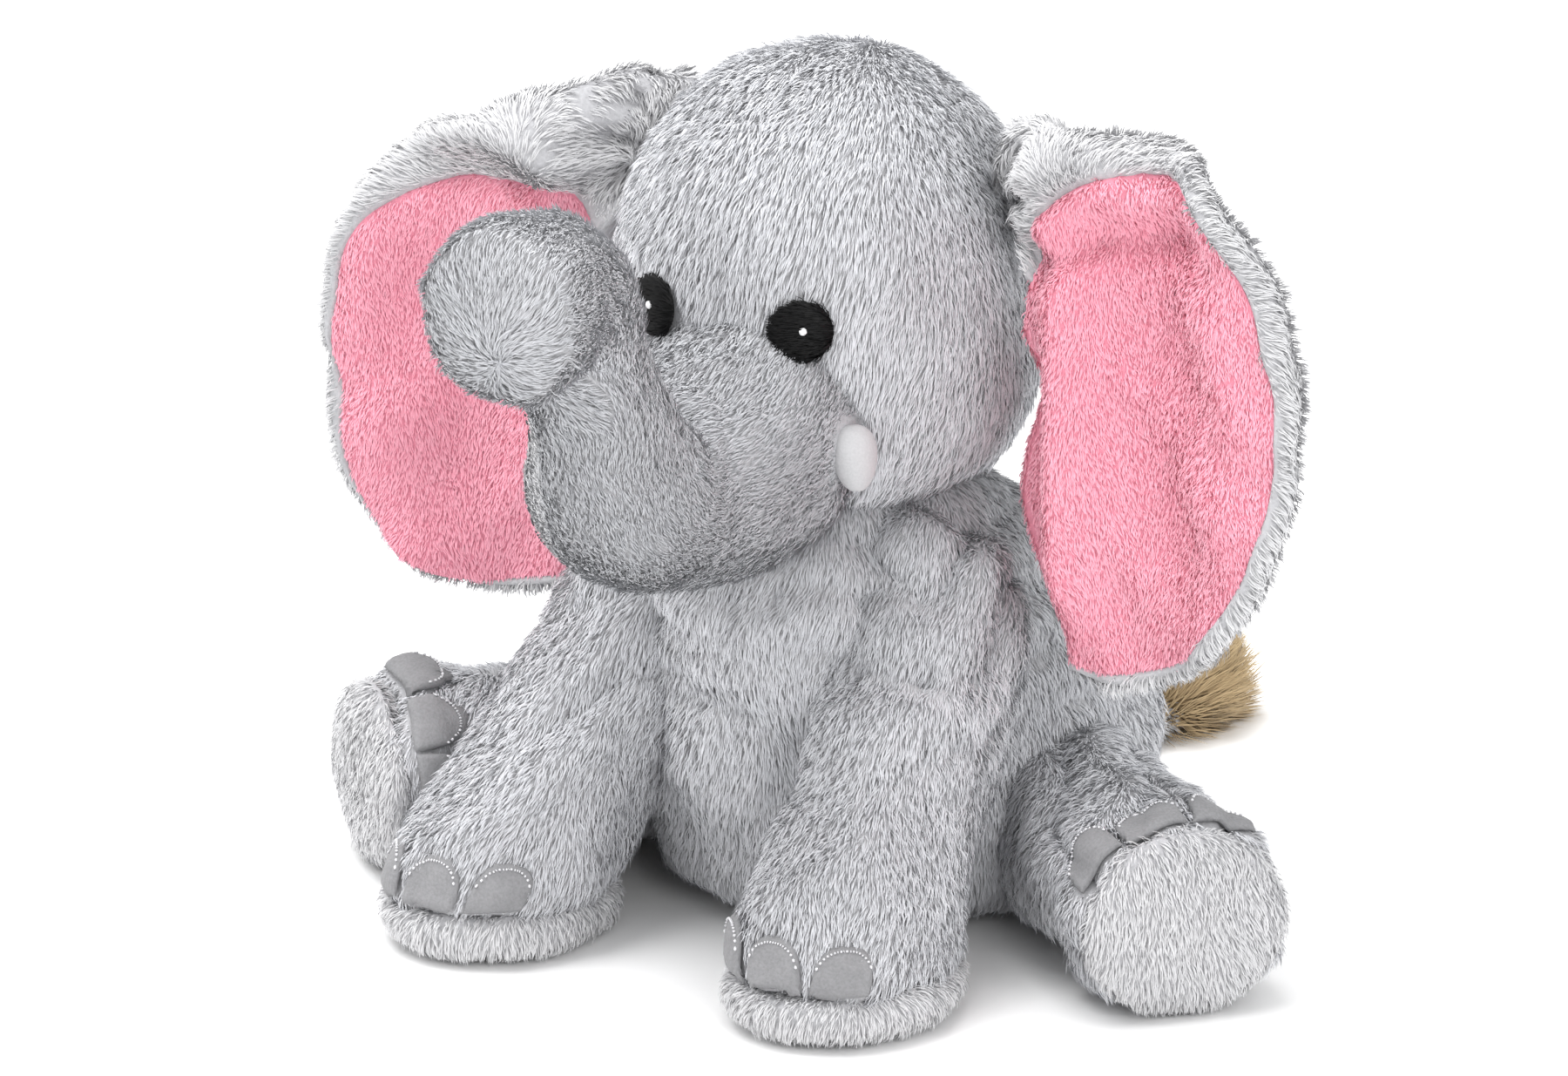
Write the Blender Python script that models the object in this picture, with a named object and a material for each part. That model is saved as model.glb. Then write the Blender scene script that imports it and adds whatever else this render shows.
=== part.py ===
"""A seated plush elephant, as sewn covers over stuffing, with a jointed neck, trunk, ears, legs and tail.

Metres, +Z up. The elephant faces -Y and its left side is at +X. The origin is the middle of the flat seat
panel that it sits on.
"""

from math import cos, pi, radians, sin, sqrt

import bmesh
import bpy
from mathutils import Matrix, Vector

for old in list(bpy.data.objects):
    bpy.data.objects.remove(old, do_unlink=True)

# Fabric and clearances
FABRIC = 0.0018  # a long-pile cover, pressed flat
SHORT_FABRIC = 0.0014  # toenail patches and eye embroidery
EAR_FABRIC = 0.0026
GAP = 0.0004  # between pieces that lie against each other
PLAY = 0.0012  # round a stuffed limb where it turns in the body

# Torso: height above the floor, centre in Y, half width, half depth
TORSO_WIDTH = 0.066
TORSO_DEPTH = 0.079
TORSO_HEIGHT = 0.122
SEAT_THICKNESS = 0.0020

# Head
HEAD_CENTRE = Vector((0, -0.038, 0.172))
HEAD_WIDTH = 0.0575
HEAD_DEPTH = 0.0575
HEAD_ABOVE = 0.0645
HEAD_BELOW = 0.060
HEAD_FULLNESS = 0.92  # under 1 fills out the egg towards its ends
NECK_PIVOT = Vector((0, -0.044, 0.115))
NECK_BALL = 0.022
NECK_TURN = 5  # the head looks a little to its left of the body, in degrees
NOD_LIMIT = 8

# Muzzle and trunk, in the middle plane
TRUNK_PIVOT = Vector((0, -0.110, 0.1375))
TRUNK_BALL = 0.0270
LOWER_CREASE = Vector((0, -0.126, 0.163))
UPPER_CREASE = Vector((0, -0.176, 0.1775))
RISER_RADIUS = 0.0198
TIP_RADIUS = 0.0225
TIP_REACH = 0.014  # from the upper crease to the tip's end
GUSSET_HALF_ANGLE = 24

# Face
EYE_AZIMUTH = 23
EYE_HEIGHT = 0.175
EYE_RADIUS = 0.0078
HIGHLIGHT_RADIUS = 0.0013
TUSK_AZIMUTH = 40
TUSK_HEIGHT = 0.136
TUSK_RADIUS = 0.0058
TUSK_LENGTH = 0.017

# Ears
EAR_PIVOT = Vector((0.051, -0.034, 0.205))
EAR_ROOT = 0.0572  # the gathered root's edge against the head, from the middle plane
EAR_ROOT_HALF = 0.017  # half of the root's height
EAR_REACH = 0.155  # the outer edge
EAR_TOP = 0.222
EAR_BOTTOM = 0.081
EAR_SWEEP = {"left": 11, "right": 10.5}  # degrees forward of straight out sideways
EAR_LIFT = {"left": 4, "right": -8}  # degrees that the outer edge is raised
EAR_RIM = 0.0055
EAR_FORWARD = 0.014  # the hanging cloth lies this far in front of its hinge line
EAR_FOLD = 0.006
EAR_LOOSE = 0.0036  # between the two cloths of an ear

# Front legs
SHOULDER_RADIUS = 0.0210
FRONT_LEG_RADIUS = 0.0225
SHOULDER = Vector((0.020 + SHOULDER_RADIUS, -0.0235 - FRONT_LEG_RADIUS, 0.096))
EAR_START = SHOULDER.x + max(SHOULDER_RADIUS, FRONT_LEG_RADIUS - 0.0015) + 0.0080  # clears the leg
FRONT_FOOT_CENTRE = Vector((0.055, -0.112, 0.0165))
FRONT_FOOT_WIDTH = 0.0270
FRONT_FOOT_LENGTH = 0.0325
FRONT_SOLE_BULGE = 0.0125

# Hind legs
HIP = Vector((0.050, -0.006, 0.0265))
HIP_RADIUS = 0.0245
HIND_FOOT = {"left": Vector((0.1265, -0.060, 0.0258)), "right": Vector((-0.112, -0.086, 0.0258))}
HIND_FOOT_WIDTH = 0.0275
HIND_FOOT_HEIGHT = 0.0245
HIND_SOLE_BULGE = 0.0085

# Toenails, three on each foot
NAIL_WIDTH = 0.0150
NAIL_HEIGHT = 0.0125
NAIL_START = 0.0012  # above the sole's seam
NAIL_CLEAR = 0.0010  # off the foot's surface
NAIL_SPREAD = 37  # degrees round the foot from one nail to the next

# Tail
TAIL_RADIUS = 0.0060
TAIL_LENGTH = 0.050
TUFT_RADIUS = 0.0118
TUFT_LENGTH = 0.036


def material(name, colour, roughness):
    made = bpy.data.materials.new(name)
    made.use_nodes = True
    shader = made.node_tree.nodes["Principled BSDF"]
    shader.inputs["Base Color"].default_value = (*colour, 1)
    shader.inputs["Roughness"].default_value = roughness
    shader.inputs["Metallic"].default_value = 0
    made.diffuse_color = (*colour, 1)
    return made


GREY_PLUSH = material("grey_plush", (0.40, 0.41, 0.42), 0.95)
PALE_PLUSH = material("pale_plush", (0.58, 0.58, 0.60), 0.95)
PINK_PLUSH = material("pink_plush", (0.85, 0.30, 0.37), 0.95)
NAIL_PLUSH = material("nail_plush", (0.30, 0.31, 0.32), 0.95)
TAN_PILE = material("tan_pile", (0.60, 0.45, 0.26), 0.95)
WHITE_FELT = material("white_felt", (0.85, 0.85, 0.85), 0.85)
BLACK_THREAD = material("black_thread", (0.01, 0.01, 0.01), 0.45)
FIBRE = material("fibre_stuffing", (0.90, 0.90, 0.88), 1.0)
POUCH_CLOTH = material("pouch_cloth", (0.70, 0.67, 0.60), 0.9)


class Section:
    """An ellipse across a stuffed shape: its middle, the two directions it spans and its half sizes."""

    def __init__(self, centre, across, along, half_width, half_length):
        self.centre = Vector(centre)
        self.across = Vector(across).normalized()
        self.along = Vector(along).normalized()
        self.half_width = half_width
        self.half_length = half_length

    def normal(self):
        return self.across.cross(self.along)

    def point(self, angle, grow=0.0):
        return (
            self.centre
            + self.across * (self.half_width + grow) * cos(angle)
            + self.along * (self.half_length + grow) * sin(angle)
        )

    def smaller(self, inset):
        width, length = self.half_width - inset, self.half_length - inset
        return Section(self.centre, self.across, self.along, width, length)


def turns(segments, first=0.0, sweep=2 * pi):
    """Angles round a section: a whole turn, or an arc with both of its ends."""
    last = segments if sweep > 6.28 else segments - 1
    return [first + sweep * i / last for i in range(segments)]


def skin(sections, angles, open_first=False, open_last=False):
    """Rings bridged one to the next and facing outwards, capped at each end that isn't left open."""
    mesh = bmesh.new()
    rings = [[mesh.verts.new(section.point(a)) for a in angles] for section in sections]
    for low, high in zip(rings, rings[1:]):
        for i in range(len(angles)):
            j = (i + 1) % len(angles)
            mesh.faces.new((low[i], low[j], high[j], high[i]))
    first, last = mesh.faces.new(rings[0]), mesh.faces.new(rings[-1])
    bmesh.ops.recalc_face_normals(mesh, faces=mesh.faces)
    openings = [face for face, is_open in ((first, open_first), (last, open_last)) if is_open]
    bmesh.ops.delete(mesh, geom=openings, context="FACES_ONLY")
    return mesh


def shrunk(mesh, distance):
    """Moves every face of a closed mesh inwards by the same distance."""
    moved = [v.co - v.normal * distance * v.calc_shell_factor() for v in mesh.verts]
    for vertex, place_ in zip(mesh.verts, moved):
        vertex.co = place_
    return mesh


def strip(sections, angles):
    """A tube's side between two angles only, facing outwards."""
    mesh = bmesh.new()
    rings = [[mesh.verts.new(section.point(a)) for a in angles] for section in sections]
    for low, high in zip(rings, rings[1:]):
        for i in range(len(angles) - 1):
            mesh.faces.new((low[i], low[i + 1], high[i + 1], high[i]))
    mesh.normal_update()
    face_away(mesh, sections[len(sections) // 2].centre)
    return mesh


def face_away(mesh, inside):
    """Turns an open surface over if the face nearest to an inside point looks at that point."""
    nearest = min(mesh.faces, key=lambda face: (face.calc_center_median() - inside).length)
    if nearest.normal.dot(nearest.calc_center_median() - inside) < 0:
        bmesh.ops.reverse_faces(mesh, faces=mesh.faces)


def place(name, mesh, paint, joint=None):
    """Makes the object, with its origin on its joint's axis when it has one."""
    data = bpy.data.meshes.new(name)
    mesh.to_mesh(data)
    mesh.free()
    data.materials.append(paint)
    data.shade_smooth()
    piece = bpy.data.objects.new(name, data)
    bpy.context.collection.objects.link(piece)
    if joint is not None:
        data.transform(Matrix.Translation(-Vector(joint["axis"])))
        piece.parent = joint
    return piece


def pivot(name, location, parent=None, turn=(0, 0, 0)):
    """An empty on a joint's axis, turned in degrees to the way that the limb lies at rest."""
    empty = bpy.data.objects.new(name, None)
    empty.location = location
    if parent is not None:
        empty.parent = parent
        empty.location -= parent.location
    empty.rotation_euler = [radians(angle) for angle in turn]
    bpy.context.collection.objects.link(empty)
    empty["axis"] = location
    return empty


def wall(piece, thickness):
    """Gives a surface its cloth, inwards from the outer face."""
    shell = piece.modifiers.new("cloth", "SOLIDIFY")
    shell.thickness = thickness
    shell.offset = -1
    shell.use_even_offset = True
    return piece


def cut(piece, *spaces):
    for space in spaces:
        gone = piece.modifiers.new("cut_" + space.name, "BOOLEAN")
        gone.operation = "DIFFERENCE"
        gone.solver = "EXACT"
        gone.object = space
    return piece


def space(name, mesh, joint=None):
    """A shape that others are cut by. It isn't a part of the toy."""
    helper = place(name, mesh, FIBRE, joint)
    helper.display_type = "WIRE"
    helper.hide_render = True
    return helper


def swept_space(name, points, centre, axis, angles, joint=None):
    """The room that a limb's root sweeps through as it turns."""
    mesh = bmesh.new()
    for degrees in angles:
        turn = Matrix.Rotation(radians(degrees), 3, axis)
        for point in points:
            mesh.verts.new(centre + turn @ (point - centre))
    bmesh.ops.remove_doubles(mesh, verts=mesh.verts, dist=0.0015)
    bmesh.ops.convex_hull(mesh, input=mesh.verts)
    inside = [v for v in mesh.verts if not v.link_faces]
    bmesh.ops.delete(mesh, geom=inside, context="VERTS")
    bmesh.ops.recalc_face_normals(mesh, faces=mesh.faces)
    return space(name, mesh, joint)


def ball_space(name, centre, radius, joint=None):
    mesh = bmesh.new()
    bmesh.ops.create_uvsphere(
        mesh, u_segments=20, v_segments=12, radius=radius, matrix=Matrix.Translation(centre)
    )
    return space(name, mesh, joint)


X_AXIS, Y_AXIS, Z_AXIS = Vector((1, 0, 0)), Vector((0, 1, 0)), Vector((0, 0, 1))


# --- Joints' axes -----------------------------------------------------------------------------------------

neck_joint = pivot("neck_axis", NECK_PIVOT, turn=(0, 0, NECK_TURN))
trunk_joint = pivot("trunk_axis", TRUNK_PIVOT, neck_joint)


def mirrored(vector, side):
    return Vector((vector.x * side, vector.y, vector.z))


SIDES = {"left": 1, "right": -1}
ear_joints = {
    k: pivot(f"ear_{k}_axis", mirrored(EAR_PIVOT, s), neck_joint, (0, -s * EAR_LIFT[k], -s * EAR_SWEEP[k]))
    for k, s in SIDES.items()
}
shoulder_joints = {k: pivot(f"shoulder_{k}_axis", mirrored(SHOULDER, s)) for k, s in SIDES.items()}
hip_joints = {k: pivot(f"hip_{k}_axis", mirrored(HIP, s)) for k, s in SIDES.items()}


# --- Head -------------------------------------------------------------------------------------------------


def head_sections(grow, steps):
    """The egg of the head from its chin end to its crown; grow moves the whole surface out."""
    sections = []
    for i in range(steps):
        lift = pi * (i + 0.35) / (steps - 0.3) - pi / 2
        half = (HEAD_ABOVE if lift > 0 else HEAD_BELOW) + grow
        round_ = cos(lift) ** HEAD_FULLNESS
        centre = HEAD_CENTRE + Z_AXIS * half * sin(lift)
        sections.append(
            Section(centre, X_AXIS, Y_AXIS, (HEAD_WIDTH + grow) * round_, (HEAD_DEPTH + grow) * round_)
        )
    return sections


def head_surface(azimuth, height, out=0.0):
    """A point on the head, azimuth degrees round from the face towards the left, and its outward normal."""
    rise = height - HEAD_CENTRE.z
    half = HEAD_ABOVE if rise > 0 else HEAD_BELOW
    round_ = sqrt(1 - (rise / half) ** 2) ** HEAD_FULLNESS
    angle = radians(azimuth)
    point = HEAD_CENTRE + Vector((HEAD_WIDTH * round_ * sin(angle), -HEAD_DEPTH * round_ * cos(angle), rise))
    normal = Vector((sin(angle) / HEAD_WIDTH, -cos(angle) / HEAD_DEPTH, rise / half**2)).normalized()
    return point + normal * out, normal


HEAD_SEGMENTS, HEAD_STEPS = 20, 11


def muzzle_sections(inset):
    """The wide root of the trunk, from inside the head to the ball that the trunk bends on."""
    stations = [
        (TRUNK_PIVOT + Vector((0, 0.046, 0.018)), 0.027),
        (TRUNK_PIVOT + Vector((0, 0.034, 0.010)), 0.034),
        (TRUNK_PIVOT + Vector((0, 0.018, 0.004)), 0.0335),
        (TRUNK_PIVOT + Vector((0, 0.004, 0.0005)), TRUNK_BALL + 0.0025),
    ]
    return [Section(c, X_AXIS, Z_AXIS, r - inset, r - inset) for c, r in stations]


head_space = space("head_space", skin(head_sections(GAP, HEAD_STEPS), turns(HEAD_SEGMENTS)), neck_joint)
neck_ball_space = ball_space("neck_ball_space", NECK_PIVOT, NECK_BALL + 2 * GAP, neck_joint)
trunk_ball_space = ball_space("trunk_ball_space", TRUNK_PIVOT, TRUNK_BALL + 3 * GAP, neck_joint)
muzzle_space = space("muzzle_space", skin(muzzle_sections(-GAP), turns(20)), neck_joint)
muzzle_core_space = space("muzzle_core_space", skin(muzzle_sections(FABRIC), turns(20)), neck_joint)

egg = skin(head_sections(0, HEAD_STEPS), turns(HEAD_SEGMENTS))
head_cover = wall(place("head_cover", egg, GREY_PLUSH, neck_joint), FABRIC)
cut(head_cover, neck_ball_space, muzzle_core_space, trunk_ball_space)

inner = FABRIC + GAP
head_core = skin(head_sections(-inner, HEAD_STEPS), turns(HEAD_SEGMENTS))
cut(place("head_stuffing", head_core, FIBRE, neck_joint), neck_ball_space, trunk_ball_space)
head_core_space = space(
    "head_core_space", skin(head_sections(GAP - inner, HEAD_STEPS), turns(HEAD_SEGMENTS)), neck_joint
)

# The neck wad: a ball inside the head on a short stem in the torso.
STEM_RADIUS = NECK_BALL * 0.80
STEM_BOTTOM = NECK_PIVOT.z - 0.030


def neck_sections(grow):
    join = sqrt(NECK_BALL**2 - STEM_RADIUS**2)
    stem = STEM_RADIUS + grow
    sections = [Section((0, NECK_PIVOT.y, STEM_BOTTOM - grow), X_AXIS, Y_AXIS, stem, stem)]
    for rise in (-join, -join * 0.5, 0, NECK_BALL * 0.5, NECK_BALL * 0.8, NECK_BALL * 0.96):
        radius = sqrt(NECK_BALL**2 - rise**2) + grow
        sections.append(Section(NECK_PIVOT + Z_AXIS * rise, X_AXIS, Y_AXIS, radius, radius))
    return sections


place("neck_stuffing", skin(neck_sections(0), turns(16)), FIBRE, neck_joint)
neck_stem_space = space("neck_stem_space", skin(neck_sections(2 * GAP), turns(16)), neck_joint)

# The muzzle sits on the front of the head.
muzzle = skin(muzzle_sections(0), turns(20), open_first=True, open_last=True)
muzzle_cover = wall(place("muzzle_cover", muzzle, GREY_PLUSH, neck_joint), FABRIC)
cut(muzzle_cover, head_space, trunk_ball_space)
muzzle_core = shrunk(skin(muzzle_sections(0), turns(20)), FABRIC + 2 * GAP)
cut(place("muzzle_stuffing", muzzle_core, FIBRE, neck_joint), head_core_space, trunk_ball_space)


# --- Trunk ------------------------------------------------------------------------------------------------


def bend(crease, clear, start, end, widths, radii):
    """Sections fanned about a crease, from the start direction to the end direction, in the middle plane."""
    steps = len(radii)
    sections = []
    for i, (half_width, radius) in enumerate(zip(widths, radii)):
        share = i / (steps - 1)
        angle = radians(start + (end - start) * share)
        out = Vector((0, cos(angle), sin(angle)))
        sections.append(Section(crease + out * (clear + radius), X_AXIS, out, half_width, radius))
    return sections


def trunk_sections(base_steps=4):
    """From the back of the ball in the muzzle, round the lower bend, up, and round the upper bend to the tip.

    Each section's along direction points to the front and underside, where the gusset runs.
    """
    ball = []
    for i in range(base_steps):
        angle = radians(-42 + 42 * i / (base_steps - 1))
        radius = TRUNK_BALL * cos(angle)
        back = TRUNK_PIVOT + Y_AXIS * -TRUNK_BALL * sin(angle)
        ball.append(Section(back, X_AXIS, -Z_AXIS, radius, radius))
    lower = bend(
        LOWER_CREASE,
        0.0025,
        -90,
        -180,
        [0.0262, 0.0255, 0.0238, 0.0220, 0.0205],
        [0.0250, 0.0250, 0.0235, 0.0210, RISER_RADIUS],
    )
    upper = bend(
        UPPER_CREASE,
        0.0025,
        0,
        90,
        [RISER_RADIUS, RISER_RADIUS * 1.02, RISER_RADIUS * 1.06, TIP_RADIUS * 0.98],
        [RISER_RADIUS, RISER_RADIUS, RISER_RADIUS * 1.02, TIP_RADIUS * 0.96],
    )
    for section in upper:  # the front of the trunk is now the side nearest the crease
        section.along = -section.along
    end = upper[-1].centre - Y_AXIS * TIP_REACH
    tip = Section(end, X_AXIS, -Z_AXIS, TIP_RADIUS, TIP_RADIUS)
    return ball + lower + upper + [tip]


TRUNK_COVER_POINTS = 18
gusset_half = radians(GUSSET_HALF_ANGLE)
trunk_line = trunk_sections()
seam_angle = GAP / RISER_RADIUS
cover_arc = turns(TRUNK_COVER_POINTS, pi / 2 + gusset_half + seam_angle, 2 * (pi - gusset_half - seam_angle))
gusset_arc = turns(5, pi / 2 - gusset_half + seam_angle, 2 * (gusset_half - seam_angle))
wall(place("trunk_cover", strip(trunk_line, cover_arc), GREY_PLUSH, trunk_joint), FABRIC)
wall(place("trunk_gusset", strip(trunk_line, gusset_arc), PALE_PLUSH, trunk_joint), FABRIC)
trunk_fill = [s.smaller(FABRIC + 3 * GAP) for s in trunk_line]
place("trunk_stuffing", skin(trunk_fill, turns(16)), FIBRE, trunk_joint)

TIP_CROWN = 0.0035
tip_end = trunk_line[-1]
tip_seat = tip_end.centre - Y_AXIS * GAP
tip_rounds = [
    (0, 1.0),
    (FABRIC, 0.975),
    (FABRIC + TIP_CROWN * 0.6, 0.78),
    (FABRIC + TIP_CROWN, 0.42),
]
tip_stack = [
    Section(tip_seat - Y_AXIS * rise, X_AXIS, -Z_AXIS, TIP_RADIUS * share, TIP_RADIUS * share)
    for rise, share in tip_rounds
]
place("trunk_tip_panel", skin(tip_stack, turns(18)), GREY_PLUSH, trunk_joint)


# --- Face: eyes and tusks ---------------------------------------------------------------------------------


def pad(centre, normal, radius, thickness, segments):
    """A low dome of embroidery or felt standing on a surface."""
    across = normal.cross(Z_AXIS).normalized()
    along = across.cross(normal)
    rounds = [(0, 1.0), (thickness * 0.55, 0.96), (thickness, 0.6)]
    rings = [Section(centre + normal * h, across, along, radius * r, radius * r) for h, r in rounds]
    return skin(rings, turns(segments))


STAND_OFF = 0.0006  # lifts a flat pad clear of the curved head


for side_name, side in SIDES.items():
    seat, outward = head_surface(EYE_AZIMUTH * side, EYE_HEIGHT, STAND_OFF)
    stitches = pad(seat, outward, EYE_RADIUS, SHORT_FABRIC, 20)
    cut(place(f"eye_{side_name}", stitches, BLACK_THREAD, neck_joint), muzzle_space)
    glint = seat + outward * (SHORT_FABRIC + GAP) + Z_AXIS * EYE_RADIUS * 0.12
    shine = pad(glint, outward, HIGHLIGHT_RADIUS, SHORT_FABRIC * 0.5, 10)
    place(f"eye_highlight_{side_name}", shine, WHITE_FELT, neck_joint)

    root, outward = head_surface(TUSK_AZIMUTH * side, TUSK_HEIGHT)
    droop = (outward * 0.55 + Vector((0.35 * side, 0, -1))).normalized()
    across = droop.cross(outward).normalized()
    along = across.cross(droop)
    profile = [(-0.10, 1.0), (0.15, 1.06), (0.45, 0.98), (0.75, 0.78), (0.92, 0.50), (1.0, 0.18)]
    start = root + outward * TUSK_RADIUS * 0.55
    rings = []
    for share, size in profile:
        radius = TUSK_RADIUS * size
        rings.append(Section(start + droop * TUSK_LENGTH * share, across, along, radius, radius))
    cut(place(f"tusk_{side_name}", skin(rings, turns(14)), WHITE_FELT, neck_joint), head_space, muzzle_space)


# --- Ears -------------------------------------------------------------------------------------------------

EAR_POINTS = 24


def ear_outline(turn):
    """The ear's edge in the plane of X and Z, as a rounded leaf, at this angle round its middle."""
    middle_x, middle_z = (EAR_REACH + EAR_START) / 2, (EAR_TOP + EAR_BOTTOM) / 2
    half_x, half_z = (EAR_REACH - EAR_START) / 2, (EAR_TOP - EAR_BOTTOM) / 2
    power = 0.84
    x = abs(cos(turn)) ** power * (1 if cos(turn) >= 0 else -1)
    z = abs(sin(turn)) ** power * (1 if sin(turn) >= 0 else -1)
    x, z = middle_x + half_x * x, middle_z + half_z * z
    if x < middle_x:  # drawn in to the gathered root
        near = max(1 - ((z - EAR_PIVOT.z) / (2 * EAR_ROOT_HALF)) ** 2, 0)
        x = x + (EAR_ROOT - x) * min(near * 1.35, 1)
    return x, z


def ear_depth(x, z):
    """How far forward the cloth lies: at the root it meets the head, and a soft upright fold stands proud."""
    reach = min(max((x - EAR_START) / (EAR_REACH - EAR_START), 0), 1)
    fold = EAR_FOLD * sin(pi * min(reach / 0.5, 1))
    away = min(max((x - EAR_ROOT) / (EAR_START - EAR_ROOT), 0), 1)
    return EAR_PIVOT.y - EAR_FORWARD * (0.25 + 0.75 * away) - fold


def ear_sheet(side, inset_side, inset_top, offset, rings):
    """A domed sheet in rings from its edge to its middle."""
    mesh = bmesh.new()
    middle_x, middle_z = (EAR_REACH + EAR_START) / 2, (EAR_TOP + EAR_BOTTOM) / 2
    rows = []
    for ring in range(rings):
        share = 1 - ring / rings
        row = []
        for i in range(EAR_POINTS):
            turn = 2 * pi * i / EAR_POINTS
            x, z = ear_outline(turn)
            inset = inset_side + (inset_top - inset_side) * max(sin(turn), 0) ** 2
            away = Vector((x - middle_x, z - middle_z))
            away *= (away.length - inset) / away.length * share
            x, z = middle_x + away.x, middle_z + away.y
            row.append(mesh.verts.new((x * side, ear_depth(x, z) + offset, z)))
        rows.append(row)
    for outer, inner_row in zip(rows, rows[1:]):
        for i in range(EAR_POINTS):
            j = (i + 1) % EAR_POINTS
            mesh.faces.new((outer[i], outer[j], inner_row[j], inner_row[i]))
    mesh.faces.new(rows[-1])
    bmesh.ops.recalc_face_normals(mesh, faces=mesh.faces)
    if sum(face.normal.y for face in mesh.faces) > 0:
        bmesh.ops.reverse_faces(mesh, faces=mesh.faces)
    return mesh


EAR_RINGS = 4
for side_name, side in SIDES.items():
    back = ear_sheet(side, 0, 0, EAR_FABRIC + EAR_LOOSE, EAR_RINGS)
    ear_back = wall(place(f"ear_{side_name}_back", back, GREY_PLUSH, ear_joints[side_name]), EAR_FABRIC)
    lining = ear_sheet(side, EAR_RIM, EAR_RIM * 2, 0, EAR_RINGS)
    wall(place(f"ear_{side_name}_lining", lining, PINK_PLUSH, ear_joints[side_name]), EAR_FABRIC)


# --- Legs -------------------------------------------------------------------------------------------------


def ball_end(centre, direction, across, radius, steps, reach=70):
    """The rounded top of a limb: sections of a ball, from behind its middle up to its middle."""
    along = direction.cross(across)
    sections = []
    for i in range(steps):
        angle = radians(-reach + reach * i / steps)
        r = radius * cos(angle)
        sections.append(Section(centre + direction * radius * sin(angle), across, along, r, r))
    return sections


def front_leg_sections(side, grow=0.0):
    """From the shoulder down and forward to the sole's seam. Each section's along points to the toes."""
    shoulder, foot = mirrored(SHOULDER, side), mirrored(FRONT_FOOT_CENTRE, side)
    reach = foot - shoulder
    down = Vector((reach.x * 0.5, reach.y * 0.75, reach.z)).normalized()
    across = (X_AXIS - down * X_AXIS.dot(down)).normalized()
    radius = SHOULDER_RADIUS + grow
    sections = ball_end(shoulder, down, across, radius, 3)
    sections.append(Section(shoulder, across, down.cross(across), radius, radius))
    stations = [  # share of the way down, forward share, lean, half width, half length
        (0.24, 0.16, 34, FRONT_LEG_RADIUS, FRONT_LEG_RADIUS),
        (0.50, 0.42, 36, FRONT_LEG_RADIUS, FRONT_LEG_RADIUS),
        (0.72, 0.68, 34, FRONT_LEG_RADIUS * 1.06, FRONT_LEG_RADIUS * 1.14),
        (0.88, 0.90, 22, FRONT_FOOT_WIDTH * 0.98, FRONT_FOOT_LENGTH * 0.95),
        (1.00, 1.00, 10, FRONT_FOOT_WIDTH, FRONT_FOOT_LENGTH),
    ]
    for drop, forward, lean, half_width, half_length in stations:
        centre = shoulder + Vector((reach.x * drop, reach.y * forward, reach.z * drop))
        tilt = radians(lean)
        toes = Vector((0, -cos(tilt), sin(tilt)))
        sections.append(Section(centre, X_AXIS, toes, half_width + grow, half_length + grow))
    return sections


def hind_leg_sections(side, grow=0.0):
    """From the hip out to the seam round the upright sole. Each section's along points up, to the toes."""
    hip, foot = mirrored(HIP, side), HIND_FOOT["left" if side > 0 else "right"]
    out = (foot - hip).normalized()
    level = Vector((out.x, out.y, 0)).normalized()
    across = Z_AXIS.cross(level)
    top = ball_end(hip, level, across, HIP_RADIUS + grow, 3)
    sections = [Section(s.centre, across, Z_AXIS, s.half_width, s.half_length) for s in top]
    stations = [
        (0.00, HIP_RADIUS, HIP_RADIUS),
        (0.35, HIP_RADIUS * 0.98, HIP_RADIUS * 0.98),
        (0.65, HIND_FOOT_WIDTH * 0.92, HIND_FOOT_HEIGHT * 0.94),
        (0.85, HIND_FOOT_WIDTH * 0.99, HIND_FOOT_HEIGHT * 0.99),
        (1.00, HIND_FOOT_WIDTH, HIND_FOOT_HEIGHT),
    ]
    for share, half_width, half_height in stations:
        centre = hip.lerp(foot, share)
        sections.append(Section(centre, across, Z_AXIS, half_width + grow, half_height + grow))
    return sections


# Shares of the bulge and of the seam's size: a cushion flattened by the floor, and a free one
FRONT_ROUNDS = [(0.0, 1.0), (0.35, 1.06), (0.7, 1.03), (0.93, 0.92), (1.0, 0.76)]
HIND_ROUNDS = [(0.0, 1.0), (0.3, 1.0), (0.65, 0.92), (0.9, 0.74), (1.0, 0.46)]


def sole_sections(seam, leg_end, bulge, rounds):
    """The domed sole beyond its seam, on the side away from the leg."""
    out = seam.normal() if seam.normal().dot(seam.centre - leg_end) > 0 else -seam.normal()
    return [
        Section(
            seam.centre + out * bulge * rise,
            seam.across,
            seam.along,
            seam.half_width * share,
            seam.half_length * share,
        )
        for rise, share in rounds
    ]


def foot_point(sections, angle, up, out):
    """A point on the foot: an angle round it and a distance up from the sole's seam."""
    low, high = sections[-1], sections[-2]
    low_point, high_point = low.point(angle), high.point(angle)
    share = up / (high_point - low_point).length
    point = low_point.lerp(high_point, share)
    round_ = (low.point(angle + 0.05) - low.point(angle - 0.05)).normalized()
    normal = round_.cross(high_point - low_point).normalized()
    if normal.dot(low_point - low.centre) < 0:
        normal = -normal
    return point + normal * out


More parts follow.
